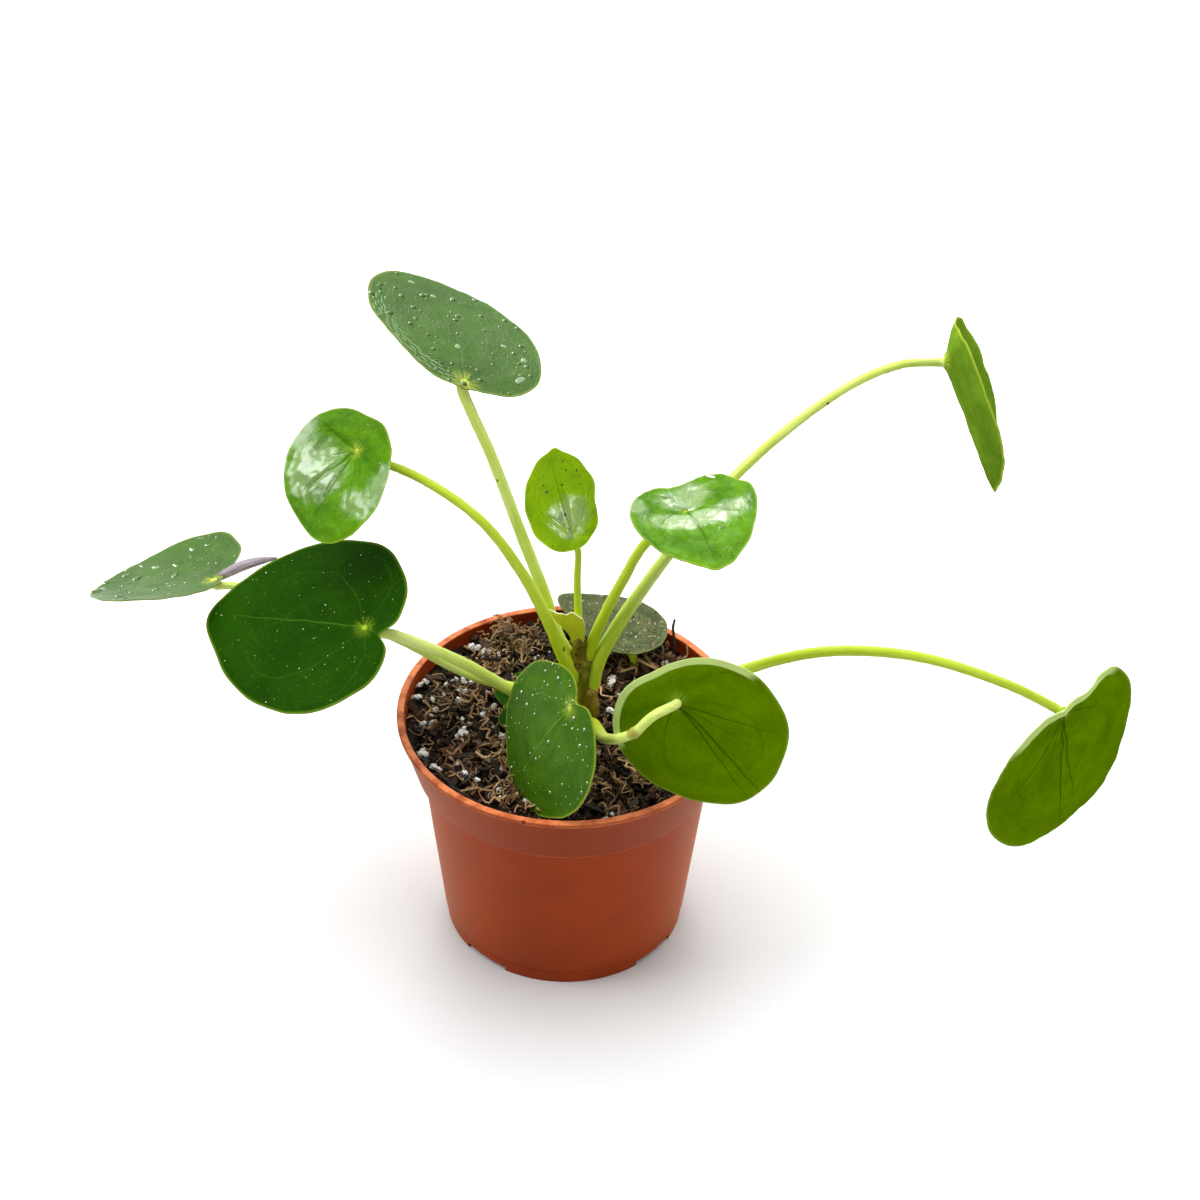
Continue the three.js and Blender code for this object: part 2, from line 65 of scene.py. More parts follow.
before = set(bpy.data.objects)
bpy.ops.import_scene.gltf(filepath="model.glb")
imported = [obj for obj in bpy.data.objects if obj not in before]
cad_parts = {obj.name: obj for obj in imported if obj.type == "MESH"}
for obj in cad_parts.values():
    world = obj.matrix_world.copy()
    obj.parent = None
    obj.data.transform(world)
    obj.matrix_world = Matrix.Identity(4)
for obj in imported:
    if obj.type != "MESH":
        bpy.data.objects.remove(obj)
CAD_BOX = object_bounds()
MM = 0.001

# The pot's profile, in millimetres.
POT_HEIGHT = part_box("pot")[1].z / MM
RIM_RADIUS = 60.0
RIM_WIDTH = 2.6
RIM_DEPTH = 1.6
COLLAR_HEIGHT = 20.6
COLLAR_RADIUS = 54.0
BODY_TOP_RADIUS = 51.5
FOOT_RADIUS = 43.5
FOOT_LINE_HEIGHT = 5.9
WALL = 1.3
FLOOR_GAP = 2.4
PAD_RADIUS = 10.0
NOTCH_COUNT = 4
NOTCH_FIRST = -40.0
NOTCH_ANGLE = 24.0
DRAIN_COUNT = 6
DRAIN_RADIUS = 3.2
DRAIN_CIRCLE = 25.0
# The block that cuts a notch: its depth and height, and how high its middle lies.
NOTCH_BLOCK = (8, 6.2)
NOTCH_BLOCK_MIDDLE = -0.9
ROUNDING_STEPS = 4
SOIL_LEVEL = 86.0

COLLAR_BOTTOM = POT_HEIGHT - COLLAR_HEIGHT
RIM_BOTTOM = POT_HEIGHT - RIM_DEPTH
RIM_INSIDE = RIM_RADIUS - RIM_WIDTH
FLOOR_TOP = FLOOR_GAP + WALL

# Leaves. A blade grows from the end of its stalk at "at". It faces the azimuth and height angle in
# "faces", and "turn" swings its tip round from the steepest way down. Then come its length and width,
# how far the stalk sits in from the notched edge, and its form: "tip" and "notch" draw the outline out
# and in, "bulges" swell or pinch it as (angle, share, spread) and "skew" slants it. "droop" and "arch"
# bend the blade down along and across, "dish" sinks the stalk's end, "funnel" lifts the edge all round
# and "twist" winds it. "relief" is the height of its quilting, of the creases round the stalk's end and
# of the margin's waves, and the share by which its outline is scalloped. "rolls" lift or lower its edge
# as (angle, rise, spread, power), and "grooves" are its sunken veins as (angle, length, depth). "stalk"
# lists the places that its stalk passes, and "thick" the stalk's radius at root and end and the share by
# which its end flares. "look" and "stalk_look" name the finishes of the blade and the stalk.
LEAVES = {
    "high_left": dict(
        at=(-36.5, 30, 208.7), faces=(0, 66), turn=102, length=63.5, width=63, inset=4.6,
        tip=0.02, notch=0.05, skew=0.14, droop=1.1, arch=-1.3, dish=1, funnel=-1, twist=0.2,
        bulges=[(121, -0.055, 22), (288, 0.02, 40)],
        stalk=[(4, 3.5, 108), (-2.9, 6.1, 118.2), (-9.5, 10.9, 137.6), (-17.8, 16.9, 158.6),
               (-27, 23.4, 182.7), (-36.2, 29.8, 206.8)],
        relief=(0.3, 0, 0.5, 0.012),
        thick=(2.3, 1.9, 0.5), look="grey", stalk_look="stalk_pale"),
    "mid_left": dict(
        at=(-72.7, 22, 184.7), faces=(-130, 46.5), turn=0, length=46.7, width=43, inset=14,
        tip=0.02, notch=0.06, skew=0.11, droop=4, arch=-2.2, dish=3.8, funnel=0, twist=0,
        bulges=[(337, -0.07, 25)],
        stalk=[(5, 2.4, 102), (0, 0.3, 111.8), (-7.4, 2.5, 130.2), (-16.2, 5.1, 147.9),
               (-30.5, 9.4, 166.7), (-50.6, 15.4, 178.9), (-72.5, 21.9, 184.5)],
        relief=(0.6, 0.15, 0.3, 0.008),
        grooves=[(-22, 24, 0.7), (-100, 18, 0.6), (30, 24, 0.4), (75, 18, 0.4), (0, 40, 0.3)],
        thick=(2.7, 1.5, 0.5), look="gloss", stalk_look="stalk_green"),
    "front_left": dict(
        at=(-68, -20, 142.5), faces=(-142, 63), turn=-59, length=73, width=70, inset=15.5,
        tip=0.08, notch=0.12, skew=-0.03, droop=0, arch=1.9, dish=1, funnel=-0.7, twist=0.5,
        bulges=[(4, 0.09, 14), (60, -0.03, 35), (177, -0.12, 6), (250, 0.05, 22)],
        stalk=[(6.5, 2, 91), (-8, -2, 96), (-19.5, -5.8, 105), (-36.4, -11, 121.2),
               (-58.4, -18, 137.9), (-67.5, -20, 142)],
        relief=(0.25, 0, 0.5, 0.014),
        thick=(2.4, 1.9, 0.5), look="dark", stalk_look="stalk_pale"),
    "front": dict(
        at=(1.4, -39.6, 126), faces=(-151, 21), turn=-18, length=51.5, width=56, inset=9,
        tip=0.03, notch=0.09, skew=0, droop=2.2, arch=3, dish=0.2, funnel=0, twist=0,
        bulges=[(15, 0.09, 18), (178, -0.12, 7), (225, -0.05, 22), (290, 0.06, 22)],
        stalk=[(6, 1, 90), (4, -12, 97), (2.5, -28, 112), (1.4, -39.6, 125)],
        relief=(0.3, 0, 0.4, 0.008),
        grooves=[(12, 30, 0.3)],
        thick=(1.9, 1.5, 0.5), look="front", stalk_look="stalk_green"),
    "front_right": dict(
        at=(37, -43, 133), faces=(83, -11), turn=-37, length=57.5, width=56, inset=15.5,
        tip=0.02, notch=0.08, skew=-0.06, droop=1.4, arch=-1.2, dish=1, funnel=0, twist=1.5,
        bulges=[(14, 0.04, 15), (205, -0.04, 20), (297, 0.03, 15)],
        stalk=[(8, 0, 86.5), (11, -14, 94.2), (12.4, -28, 103.8), (14.4, -40, 113),
               (18.4, -48.5, 120.8), (23, -50, 124.6), (29, -48.9, 131), (36.8, -43.4, 133.2)],
        relief=(0.3, 0.1, 0.4, 0.008),
        thick=(2.8, 1.6, 0), look="olive", stalk_look="stalk_pale"),
    "far_right": dict(
        at=(175, 0, 95), faces=(-54, 1), turn=17, length=68.5, width=71.5, inset=4.5,
        tip=-0.07, notch=0.07, skew=-0.18, droop=-0.5, arch=2.5, dish=-0.2, funnel=-1.9, twist=-0.4,
        bulges=[(42, 0.03, 18), (160, -0.13, 14)],
        stalk=[(28, -2, 77), (29, -2, 86), (40, -2, 101), (60.9, -1.6, 112.9), (87.8, -1.2, 121.5),
               (119.7, -0.8, 120.3), (152.9, -0.3, 108.4), (174.2, 0, 95.6)],
        relief=(0.5, 0.1, 0.4, 0.012),
        grooves=[(-7, 50, -0.3), (-42, 40, -0.3)], rolls=[(150, -2.6, 30, 8), (-165, -2.4, 24, 8)],
        thick=(2.3, 1.7, 0.5), look="olive", stalk_look="stalk_green"),
    "high_right": dict(
        at=(128.4, 60, 202), faces=(-1, 9), turn=-7, length=65.5, width=57, inset=15,
        tip=0.01, notch=0.05, skew=0.06, droop=-0.6, arch=-5.1, dish=0.4, funnel=7.9, twist=2.3,
        bulges=[(-7, -0.03, 25)], rolls=[(-80, 4.0, 32, 2)],
        stalk=[(7.8, 1.8, 97), (11.5, 3.2, 114.3), (33.6, 14, 150.3), (60.9, 27.4, 181.1),
               (92.6, 42.8, 201.5), (111.3, 52, 205.4), (127.4, 59.8, 202.2)],
        relief=(0.4, 0.1, 0.6, 0.012),
        thick=(2.8, 1.5, 0.5), look="high", stalk_look="stalk_pale"),
    "mid_right": dict(
        at=(38.5, 10, 172.5), faces=(158, 84), turn=-233, length=55, width=42.5, inset=15.5,
        tip=0, notch=0.15, skew=-0.09, droop=3.4, arch=-4.6, dish=3.8, funnel=2.1, twist=-1.6,
        bulges=[(12, 0.08, 20), (4, 0.05, 7), (100, 0.05, 15)],
        stalk=[(6, 2.5, 103), (6.6, 2.6, 112.3), (11.2, 3.7, 128.5), (18.4, 5.4, 145.7),
               (25.8, 7.1, 160.4), (38, 9.9, 172.5)],
        relief=(0.85, 0.25, 0.4, 0.01),
        grooves=[(0, 34, 0.6), (40, 26, 0.5), (-38, 24, 0.5), (80, 22, 0.5)],
        thick=(2.2, 1.7, 0.5), look="pooled", stalk_look="stalk_green"),
    "crown": dict(
        at=(0.9, 5, 164.6), faces=(-66, 28), turn=188, length=33.7, width=27, inset=5.2,
        tip=0.05, notch=0.02, skew=-0.05, droop=-2.6, arch=-1, dish=1, funnel=0, twist=-1.1,
        bulges=[(-7, 0.07, 8), (259, -0.14, 20), (299, -0.05, 15)],
        stalk=[(3.6, 3, 117), (3.2, 4, 132.4), (2.7, 5, 145.5), (2.6, 5, 159), (1.2, 5.1, 164.6)],
        relief=(0.35, 0.1, 0.4, 0.016),
        grooves=[(-3, 22, 0.7), (35, 14, 0.3), (-40, 14, 0.3)],
        thick=(1.7, 1.1, 0.5), look="young", stalk_look="stalk_green"),
    "back_low": dict(
        at=(20.2, 33, 96.8), faces=(44, 81), turn=-299, length=41, width=35, inset=8.5,
        tip=-0.05, notch=0.03, skew=0.09, droop=1.7, arch=-4.2, dish=0.8, funnel=0, twist=1.7,
        bulges=[(58, 0.23, 24)],
        stalk=[(24.5, 29.5, 77), (24.3, 29.8, 86), (22.8, 31, 92), (20.9, 32.8, 96.4)],
        relief=(0.3, 0, 0.3, 0.008),
        thick=(1.6, 1.3, 0.5), look="dusty", stalk_look="stalk_green"),
    "far_left": dict(
        at=(-124.4, 18, 131.8), faces=(128, 70.5), turn=37, length=47, width=61.5, inset=6.5,
        tip=0, notch=0.18, skew=0.22, droop=0.2, arch=-3.8, dish=0, funnel=2, twist=1.5,
        stalk=[(6, 2.8, 94), (-8, 3.4, 95.5), (-20, 3.8, 98.5), (-34.4, 4.5, 102.8), (-58.9, 8, 115),
               (-76.4, 10.5, 121.4), (-94, 14, 125.2), (-108.2, 17, 127.6), (-118, 18.5, 129.2),
               (-123.5, 18, 130.9)],
        relief=(0.3, 0, 0.5, 0.016),
        thick=(2, 1.4, 0.5), look="grey", stalk_look="stalk_pale"),
    "low_left": dict(
        at=(-21, 4.5, 89), faces=(-170, 88), turn=178, length=28, width=37, inset=6,
        tip=0.02, notch=0.33, skew=0, droop=1.5, arch=1, dish=0.5, funnel=0, twist=0,
        stalk=[(-16, 6, 77), (-17, 5.6, 83), (-19.5, 4.8, 87), (-20.9, 4.5, 89.2)],
        relief=(0.4, 0, 0.4, 0.01),
        thick=(1.4, 1.2, 0.5), look="dark", stalk_look="stalk_green"),
}
# How wide the outline's notch is, in radians, and the length to which a blade's bends are given.
NOTCH_SPREAD = 0.3
BEND_REACH = 30
# The radius of the dish and the creases round a stalk's end, and how far from it rolls begin.
DISH_RADIUS = 10
CREASE_RADIUS = 9
CREASE_SPREAD = 6
ROLL_START = 6
# The quilting's coarse and fine size, and the width of a groove and of its raised shoulders.
QUILT_SIZE = 6
QUILT_FINE = 2.4
GROOVE_WIDTH = 0.8
SHOULDER_WIDTH = 3.6

TRUNK_LINE = [(8.2, 2, 76), (8.1, 2, 84.6), (7.3, 2, 94.7), (5.4, 2.5, 103.4), (4.2, 3, 114),
              (3.4, 2.2, 124.0)]
TRUNK_RADIUS = 3.5
TRUNK_NODE = 0.76
TRUNK_RINGS = 7
TRUNK_TAPER = 1.4
TRUNK_SCARS = [(8.7, -1.0, 100.5, 2.1), (5, -0.2, 103.5, 1.2), (3.2, -0.4, 110.5, 1.3),
               (10.6, 3, 99, 1.6), (8.6, -1.2, 88, 1.5)]


# Helpers for objects and meshes


def deselect():
    bpy.ops.object.select_all(action="DESELECT")


def pick(obj):
    """Makes obj the only selected object, and the active one."""
    deselect()
    obj.select_set(True)
    bpy.context.view_layer.objects.active = obj


def named(obj, name):
    obj.name = name
    obj.data.name = name
    return obj


def copy_of(obj, name):
    """A copy of obj with a mesh of its own."""
    twin = obj.copy()
    twin.data = obj.data.copy()
    bpy.context.scene.collection.objects.link(twin)
    return named(twin, name)


def remove(obj):
    bpy.data.objects.remove(obj, do_unlink=True)


def join(parts):
    """Joins the parts into the first one."""
    deselect()
    for part in parts:
        part.select_set(True)
    bpy.context.view_layer.objects.active = parts[0]
    bpy.ops.object.join()
    return parts[0]


def apply(obj, kind, **values):
    """Adds a modifier with these values to obj and applies it."""
    pick(obj)
    modifier = obj.modifiers.new(kind.title(), kind)
    for key, value in values.items():
        setattr(modifier, key, value)
    bpy.ops.object.modifier_apply(modifier=modifier.name)


def edit(obj):
    pick(obj)
    bpy.ops.object.mode_set(mode="EDIT")
    bpy.ops.mesh.select_all(action="SELECT")


def leave_edit():
    bpy.ops.object.mode_set(mode="OBJECT")


def smooth(obj, angle):
    pick(obj)
    bpy.ops.object.shade_smooth_by_angle(angle=math.radians(angle))


def dress(obj, materials):
    obj.data.materials.clear()
    for material in materials:
        obj.data.materials.append(material)


def finish_piece(obj, skins, slot, nodes=(), angle=60):
    """Smooths and dresses a piece. It rides on the one body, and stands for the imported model's nodes."""
    smooth(obj, angle)
    dress(obj, skins)
    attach(obj, "root")
    if nodes:
        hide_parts(*nodes)


def bell(away, spread):
    """1 at no distance, falling off smoothly over the spread."""
    return math.exp(-((away / spread) ** 2))


def hump(angle, middle, spread):
    """A smooth hump round an angle, 1 at its middle, the short way round."""
    away = abs((angle - middle + 3 * math.pi) % (2 * math.pi) - math.pi)
    return bell(away, spread)


def ring_noise(angle, scale, seed):
    """Noise that closes on itself all the way round."""
    return noise.noise(Vector((scale * math.cos(angle), scale * math.sin(angle), seed)))


def smooth_path(points, step):
    """Points about a step apart on a centripetal Catmull-Rom curve through the given ones."""
    knots = [Vector(p) for p in points]
    before = knots[0] * 2 - knots[1]
    after = knots[-1] * 2 - knots[-2]
    knots = [before, *knots, after]
    path = []
    for a, b, c, d in zip(knots, knots[1:], knots[2:], knots[3:]):
        ta = 0.0
        tb = ta + math.sqrt((b - a).length)
        tc = tb + math.sqrt((c - b).length)
        td = tc + math.sqrt((d - c).length)
        count = max(2, round((c - b).length / step))
        for i in range(count):
            t = tb + (tc - tb) * i / count
            ab = a.lerp(b, (t - ta) / (tb - ta))
            bc = b.lerp(c, (t - tb) / (tc - tb))
            cd = c.lerp(d, (t - tc) / (td - tc))
            abc = ab.lerp(bc, (t - ta) / (tc - ta))
            bcd = bc.lerp(cd, (t - tb) / (td - tb))
            path.append(abc.lerp(bcd, (t - tb) / (tc - tb)))
    path.append(knots[-2])
    return path


def tube(name, path, radius_at, sides):
    """A closed round tube along a path. radius_at gives its radius in millimetres at each share of the
    way."""
    deselect()
    bpy.ops.curve.primitive_nurbs_path_add()
    obj = bpy.context.object
    curve = obj.data
    curve.splines.clear()
    spline = curve.splines.new("POLY")
    spline.points.add(len(path) - 1)
    last = len(path) - 1
    for i, place in enumerate(path):
        spline.points[i].co = (*(place * MM), 1)
        spline.points[i].radius = radius_at(i / last)
    curve.dimensions = "3D"
    curve.bevel_depth = MM
    curve.bevel_resolution = sides // 2 - 2
    curve.use_fill_caps = True
    obj.location = (0, 0, 0)
    pick(obj)
    bpy.ops.object.convert(target="MESH")
    obj = bpy.context.object
    edit(obj)
    bpy.ops.mesh.remove_doubles(threshold=1e-6)
    bpy.ops.mesh.normals_make_consistent(inside=False)
    leave_edit()
    return named(obj, name)


def write_attribute(mesh, name, values, kind="FLOAT_VECTOR"):
    """Gives a mesh an attribute with a value, or three numbers, for each vertex."""
    field = "vector" if kind == "FLOAT_VECTOR" else "value"
    mesh.attributes.new(name, kind, "POINT").data.foreach_set(field, values)


def mark_grain(obj, path):
    """Writes the "grain" attribute of a tube: the way along it in millimetres, and the side as two axes."""
    lengths = [0.0]
    for a, b in zip(path, path[1:]):
        lengths.append(lengths[-1] + (b - a).length)
    grain = []
    for vertex in obj.data.vertices:
        place = vertex.co / MM
        nearest = min(range(len(path)), key=lambda i: (path[i] - place).length_squared)
        side = (place - path[nearest]).normalized()
        grain.extend((lengths[nearest], side.x + 0.5 * side.z, side.y))
    write_attribute(obj.data, "grain", grain)


def mark_tone(obj, tone_at):
    """Writes the "tone" attribute, a share at each place in millimetres."""
    tones = [tone_at(vertex.co / MM) for vertex in obj.data.vertices]
    write_attribute(obj.data, "tone", tones, "FLOAT")


def matrix_of(leaf):
    """Moves a blade from its own plane to its place on the plant, in millimetres."""
    azimuth, lift = (math.radians(a) for a in leaf["faces"])
    facing = Vector((math.cos(lift) * math.cos(azimuth), math.cos(lift) * math.sin(azimuth),
                     math.sin(lift)))
    downhill = Vector((math.sin(lift) * math.cos(azimuth), math.sin(lift) * math.sin(azimuth),
                       -math.cos(lift)))
    along = Matrix.Rotation(math.radians(leaf["turn"]), 3, facing) @ downhill
    across = facing.cross(along)
    place = Matrix((along, across, facing)).transposed().to_4x4()
    place.translation = Vector(leaf["at"])
    return place


def blade_form(leaf, u, v):
    """Height of a blade above its own plane without its fine relief."""
    middle = leaf["length"] / 2 - leaf["inset"]
    reach = math.hypot(u, v)
    dish = leaf["dish"] * (1 - bell(reach, DISH_RADIUS))
    funnel = leaf["funnel"] * reach / BEND_REACH
    droop = leaf["droop"] * ((u - middle) ** 2 - middle**2) / BEND_REACH**2
    arch = leaf["arch"] * v**2 / BEND_REACH**2
    return dish + funnel - droop - arch + leaf["twist"] * u * v / BEND_REACH**2


def blade_height(leaf, u, v):
    """Height of a blade above its own plane, u along and v across from the stalk's end."""
    quilt, crease, wave, _ = leaf["relief"]
    seed = leaf["length"]
    reach = math.hypot(u, v)
    height = blade_form(leaf, u, v)
    height += quilt * noise.noise(Vector((u / QUILT_SIZE, v / QUILT_SIZE, seed)))
    height += 0.35 * quilt * noise.noise(Vector((u / QUILT_FINE, v / QUILT_FINE, seed)))
    around = math.atan2(v, u)
    height += 2 * crease * ring_noise(around, 3, seed + 5) * bell(reach - CREASE_RADIUS, CREASE_SPREAD)
    far = min(1.0, math.hypot((u - leaf["length"] / 2 + leaf["inset"]) / leaf["length"],
                              v / leaf["width"]) * 2)
    height += 1.6 * wave * ring_noise(around, 2.4, seed + 9) * far**5
    side = math.atan2(v / leaf["width"], (u - leaf["length"] / 2 + leaf["inset"]) / leaf["length"])
    off = 1 - bell(reach, ROLL_START)
    for at, rise, spread, power in leaf.get("rolls", ()):
        height += off * rise * hump(side, math.radians(at), math.radians(spread)) * far**power
    for angle, length, depth in leaf.get("grooves", ()):
        turn = math.radians(angle)
        along = u * math.cos(turn) + v * math.sin(turn)
        aside = v * math.cos(turn) - u * math.sin(turn)
        if 0 < along < length:
            fade = min(1.0, along / 2, (length - along) / (0.35 * length))
            height += depth * fade * (0.6 * bell(aside, SHOULDER_WIDTH) - bell(aside, GROOVE_WIDTH))
    return height


def blade_plane(leaf, share, angle):
    """A place in a blade's plane, at a share of the way from its middle to its edge."""
    middle = leaf["length"] / 2 - leaf["inset"]
    swell = 1 + leaf["tip"] * max(0.0, math.cos(angle)) ** 8
    swell -= leaf["notch"] * hump(angle, math.pi, NOTCH_SPREAD)
    for at, amount, spread in leaf.get("bulges", ()):
        swell += amount * hump(angle, math.radians(at), math.radians(spread))
    swell += 1.8 * leaf["relief"][3] * ring_noise(angle, 2.6, leaf["width"]) * share**3
    u = middle + leaf["length"] / 2 * math.cos(angle) * swell * share
    v = leaf["width"] / 2 * math.sin(angle) * swell * share + leaf["skew"] * (u - middle)
    return u, v


SECTORS = 240
RINGS = 32
RING_CROWDING = 0.85
BLADE_THICKNESS = 0.9
EDGE_THICKNESS = 0.4
HUB_THICKNESS = 2.2
HUB_RADIUS = 2.4


def ring_disc(name, sectors, shares):
    """A flat disc of radius 1, with a ring of vertices at each share of it, from 1 inwards."""
    deselect()
    bpy.ops.mesh.primitive_circle_add(vertices=sectors, radius=1, fill_type="NOTHING")
    disc = bpy.context.object
    edit(disc)
    for outer, inner in zip(shares, shares[1:]):
        bpy.ops.mesh.extrude_region_move()
        bpy.ops.transform.resize(value=(inner / outer, inner / outer, 1))
    bpy.ops.mesh.extrude_region_move()
    bpy.ops.mesh.merge(type="CENTER")
    bpy.ops.mesh.select_all(action="SELECT")
    bpy.ops.mesh.normals_make_consistent(inside=False)
    leave_edit()
    return named(disc, name)


def blade(blank, name, leaf, thickness, edge):
    """A blade with its fine relief, thin at its edge and thick where the stalk joins it."""
    obj = copy_of(blank, name)
    place = matrix_of(leaf)
    thinning = obj.vertex_groups.new(name="thickness")
    spots = []
    for vertex in obj.data.vertices:
        share = vertex.co.xy.length
        angle = math.atan2(vertex.co.y, vertex.co.x) % (2 * math.pi)
        u, v = blade_plane(leaf, share, angle)
        vertex.co = place @ Vector((u, v, blade_height(leaf, u, v))) * MM
        sway = 0.012 * noise.noise(Vector((u / 9, v / 9, leaf["length"])))
        spots.extend((u / leaf["length"] + sway, v / leaf["width"] + sway, share))
        hub = bell(math.hypot(u, v), HUB_RADIUS)
        body = edge + (thickness - edge) * (1 - share**6)
        thinning.add([vertex.index], (body + (HUB_THICKNESS - body) * hub) / HUB_THICKNESS, "REPLACE")
    write_attribute(obj.data, "spot", spots)
    apply(obj, "SOLIDIFY", thickness=HUB_THICKNESS * MM, offset=1, material_offset=1,
          material_offset_rim=2, vertex_group="thickness", thickness_vertex_group=0.0)
    return obj


# Helpers for shader nodes


class Field:
    """An output of a shader node, with which one reckons as with a number."""

    def __init__(self, tree, socket):
        self.tree = tree
        self.socket = socket

    def __add__(self, other):
        return maths("ADD", self, other)

    def __sub__(self, other):
        return maths("SUBTRACT", self, other)

    def __rsub__(self, other):
        return maths("SUBTRACT", other, self)

    def __mul__(self, other):
        return maths("MULTIPLY", self, other)

    def __truediv__(self, other):
        return maths("DIVIDE", self, other)

    def __abs__(self):
        return maths("ABSOLUTE", self)

    def clamped(self):
        """Keeps the result between 0 and 1."""
        self.socket.node.use_clamp = True
        return self


def put(tree, socket, source):
    """Links a field to a socket, or sets the socket's value."""
    if isinstance(source, Field):
        tree.links.new(source.socket, socket)
    else:
        socket.default_value = source


def fill(tree, node, **inputs):
    """Sets a node's inputs, named as on the node, with _ for a space."""
    for key, source in inputs.items():
        put(tree, node.inputs[key.replace("_", " ")], source)


def add(tree, kind, output=0, settings=None, **inputs):
    """Adds a shader node and gives one of its outputs."""
    node = tree.nodes.new("ShaderNode" + kind)
    for key, value in (settings or {}).items():
        setattr(node, key, value)
    fill(tree, node, **inputs)
    return Field(tree, node.outputs[output])


def maths(operation, a, b=0.0):
    tree = (a if isinstance(a, Field) else b).tree
    node = tree.nodes.new("ShaderNodeMath")
    node.operation = operation
    put(tree, node.inputs[0], a)
    put(tree, node.inputs[1], b)
    return Field(tree, node.outputs[0])


def vector_maths(operation, a, b=None):
    node = a.tree.nodes.new("ShaderNodeVectorMath")
    node.operation = operation
    put(a.tree, node.inputs[0], a)
    if b is not None:
        put(a.tree, node.inputs[1], b)
    kind = "Value" if operation in ("LENGTH", "DOT_PRODUCT") else "Vector"
    return Field(a.tree, node.outputs[kind])


def blend(share, a, b):
    """Mixes two colours by a share."""
    node = share.tree.nodes.new("ShaderNodeMix")
    node.data_type = "RGBA"
    for index, source in ((0, share), (6, a), (7, b)):
        put(share.tree, node.inputs[index], source)
    return Field(share.tree, node.outputs[2])


def ramp(value, low, high, to_low=0.0, to_high=1.0):
    """Value mapped smoothly from low..high to to_low..to_high, and held past both ends."""
    node = value.tree.nodes.new("ShaderNodeMapRange")
    node.interpolation_type = "SMOOTHSTEP"
    for index, source in enumerate((value, low, high, to_low, to_high)):
        put(value.tree, node.inputs[index], source)
    return Field(value.tree, node.outputs[0])


def object_place(tree):
    return add(tree, "TexCoord", "Object")


def attribute(tree, name, output="Fac"):
    return add(tree, "Attribute", output, dict(attribute_name=name))


def split(place):
    """The three parts of a vector."""
    node = place.tree.nodes.new("ShaderNodeSeparateXYZ")
    put(place.tree, node.inputs[0], place)
    return [Field(place.tree, socket) for socket in node.outputs]


def vector(x, y, z=0.0):
    return add(x.tree, "CombineXYZ", X=x, Y=y, Z=z)


def distance(place, middle, reach):
    """How far a place is from the middle of an ellipse, 1 on its edge, without regard to height."""
    local = add(place.tree, "Mapping", 0, dict(vector_type="TEXTURE"), Vector=place,
                Location=(*middle, 0), Scale=(*reach, 1))
    x, y, _ = split(local)
    return vector_maths("LENGTH", vector(x, y))


def noise_of(place, scale, detail=4.0, roughness=0.6):
    return add(place.tree, "TexNoise", Vector=place, Scale=scale, Detail=detail, Roughness=roughness)


def lines_along(axes, along, across):
    """Noise drawn out to fine lines along a stalk or sheet, from the parts of its "grain" attribute."""
    return noise_of(vector(axes[0] * along, axes[1] * across, axes[2] * across), 2.0)


def strongest(fields):
    whole = fields[0]
    for field in fields[1:]:
        whole = maths("MAXIMUM", whole, field)
    return whole


def group(name, inputs, outputs):
    """A shader node group with named sockets: its tree, what it is given and its output node."""
    tree = bpy.data.node_groups.new(name, "ShaderNodeTree")
    for way, sockets in (("INPUT", inputs), ("OUTPUT", outputs)):
        for socket, kind in sockets.items():
            tree.interface.new_socket(socket, in_out=way, socket_type="NodeSocket" + kind)
    given = tree.nodes.new("NodeGroupInput").outputs
    return tree, {key: Field(tree, given[key]) for key in inputs}, tree.nodes.new("NodeGroupOutput")


def placed_group(tree, name, **inputs):
    """Adds a node group to a tree and gives its outputs by name."""
    node = tree.nodes.new("ShaderNodeGroup")
    node.node_tree = bpy.data.node_groups[name]
    fill(tree, node, **inputs)
    return {socket.name: Field(tree, socket) for socket in node.outputs}


def rgb(red, green, blue):
    """A colour given as 8-bit sRGB, for a linear socket."""
    parts = []
    for value in (red, green, blue):
        value /= 255
        parts.append(value / 12.92 if value <= 0.04045 else ((value + 0.055) / 1.055) ** 2.4)
    return (*parts, 1.0)


def material(name):
    """A new material, its node tree and its Principled shader."""
    made = bpy.data.materials.new(name)
    made.use_nodes = True
    tree = made.node_tree
    return made, tree, tree.nodes["Principled BSDF"]


def bump(height, depth):
    """A normal from a height of 0 to 1 that is depth millimetres deep."""
    return add(height.tree, "Bump", Height=height, Distance=depth * MM, Strength=1.0)


# Shared effects

# Veins of a blade, in shares of its length and width from the stalk's end: start along and across, angle
# from the midrib, length, outward bend, width and strength. The loops and branches are the same on both
# sides of the midrib.
MIDRIB = (0, 0, 0, 0.80, 0, 0.009, 1.0)
SIDE_VEINS = [
    (0, 0, 3, 0.74, 0.29, 0.007, 0.45),
    (0, 0, 62, 0.52, 0.17, 0.006, 0.4),
    (0, 0, 150, 0.20, 0.03, 0.005, 0.4),
    (0.22, 0, 42, 0.30, -0.03, 0.005, 0.2),
    (0.40, 0, 36, 0.26, -0.03, 0.005, 0.2),
    (0.20, 0.25, 70, 0.22, -0.02, 0.004, 0.2),
    (0.40, 0.28, 48, 0.20, -0.02, 0.004, 0.2),
    (0.60, 0.17, 40, 0.20, -0.02, 0.004, 0.2),
]


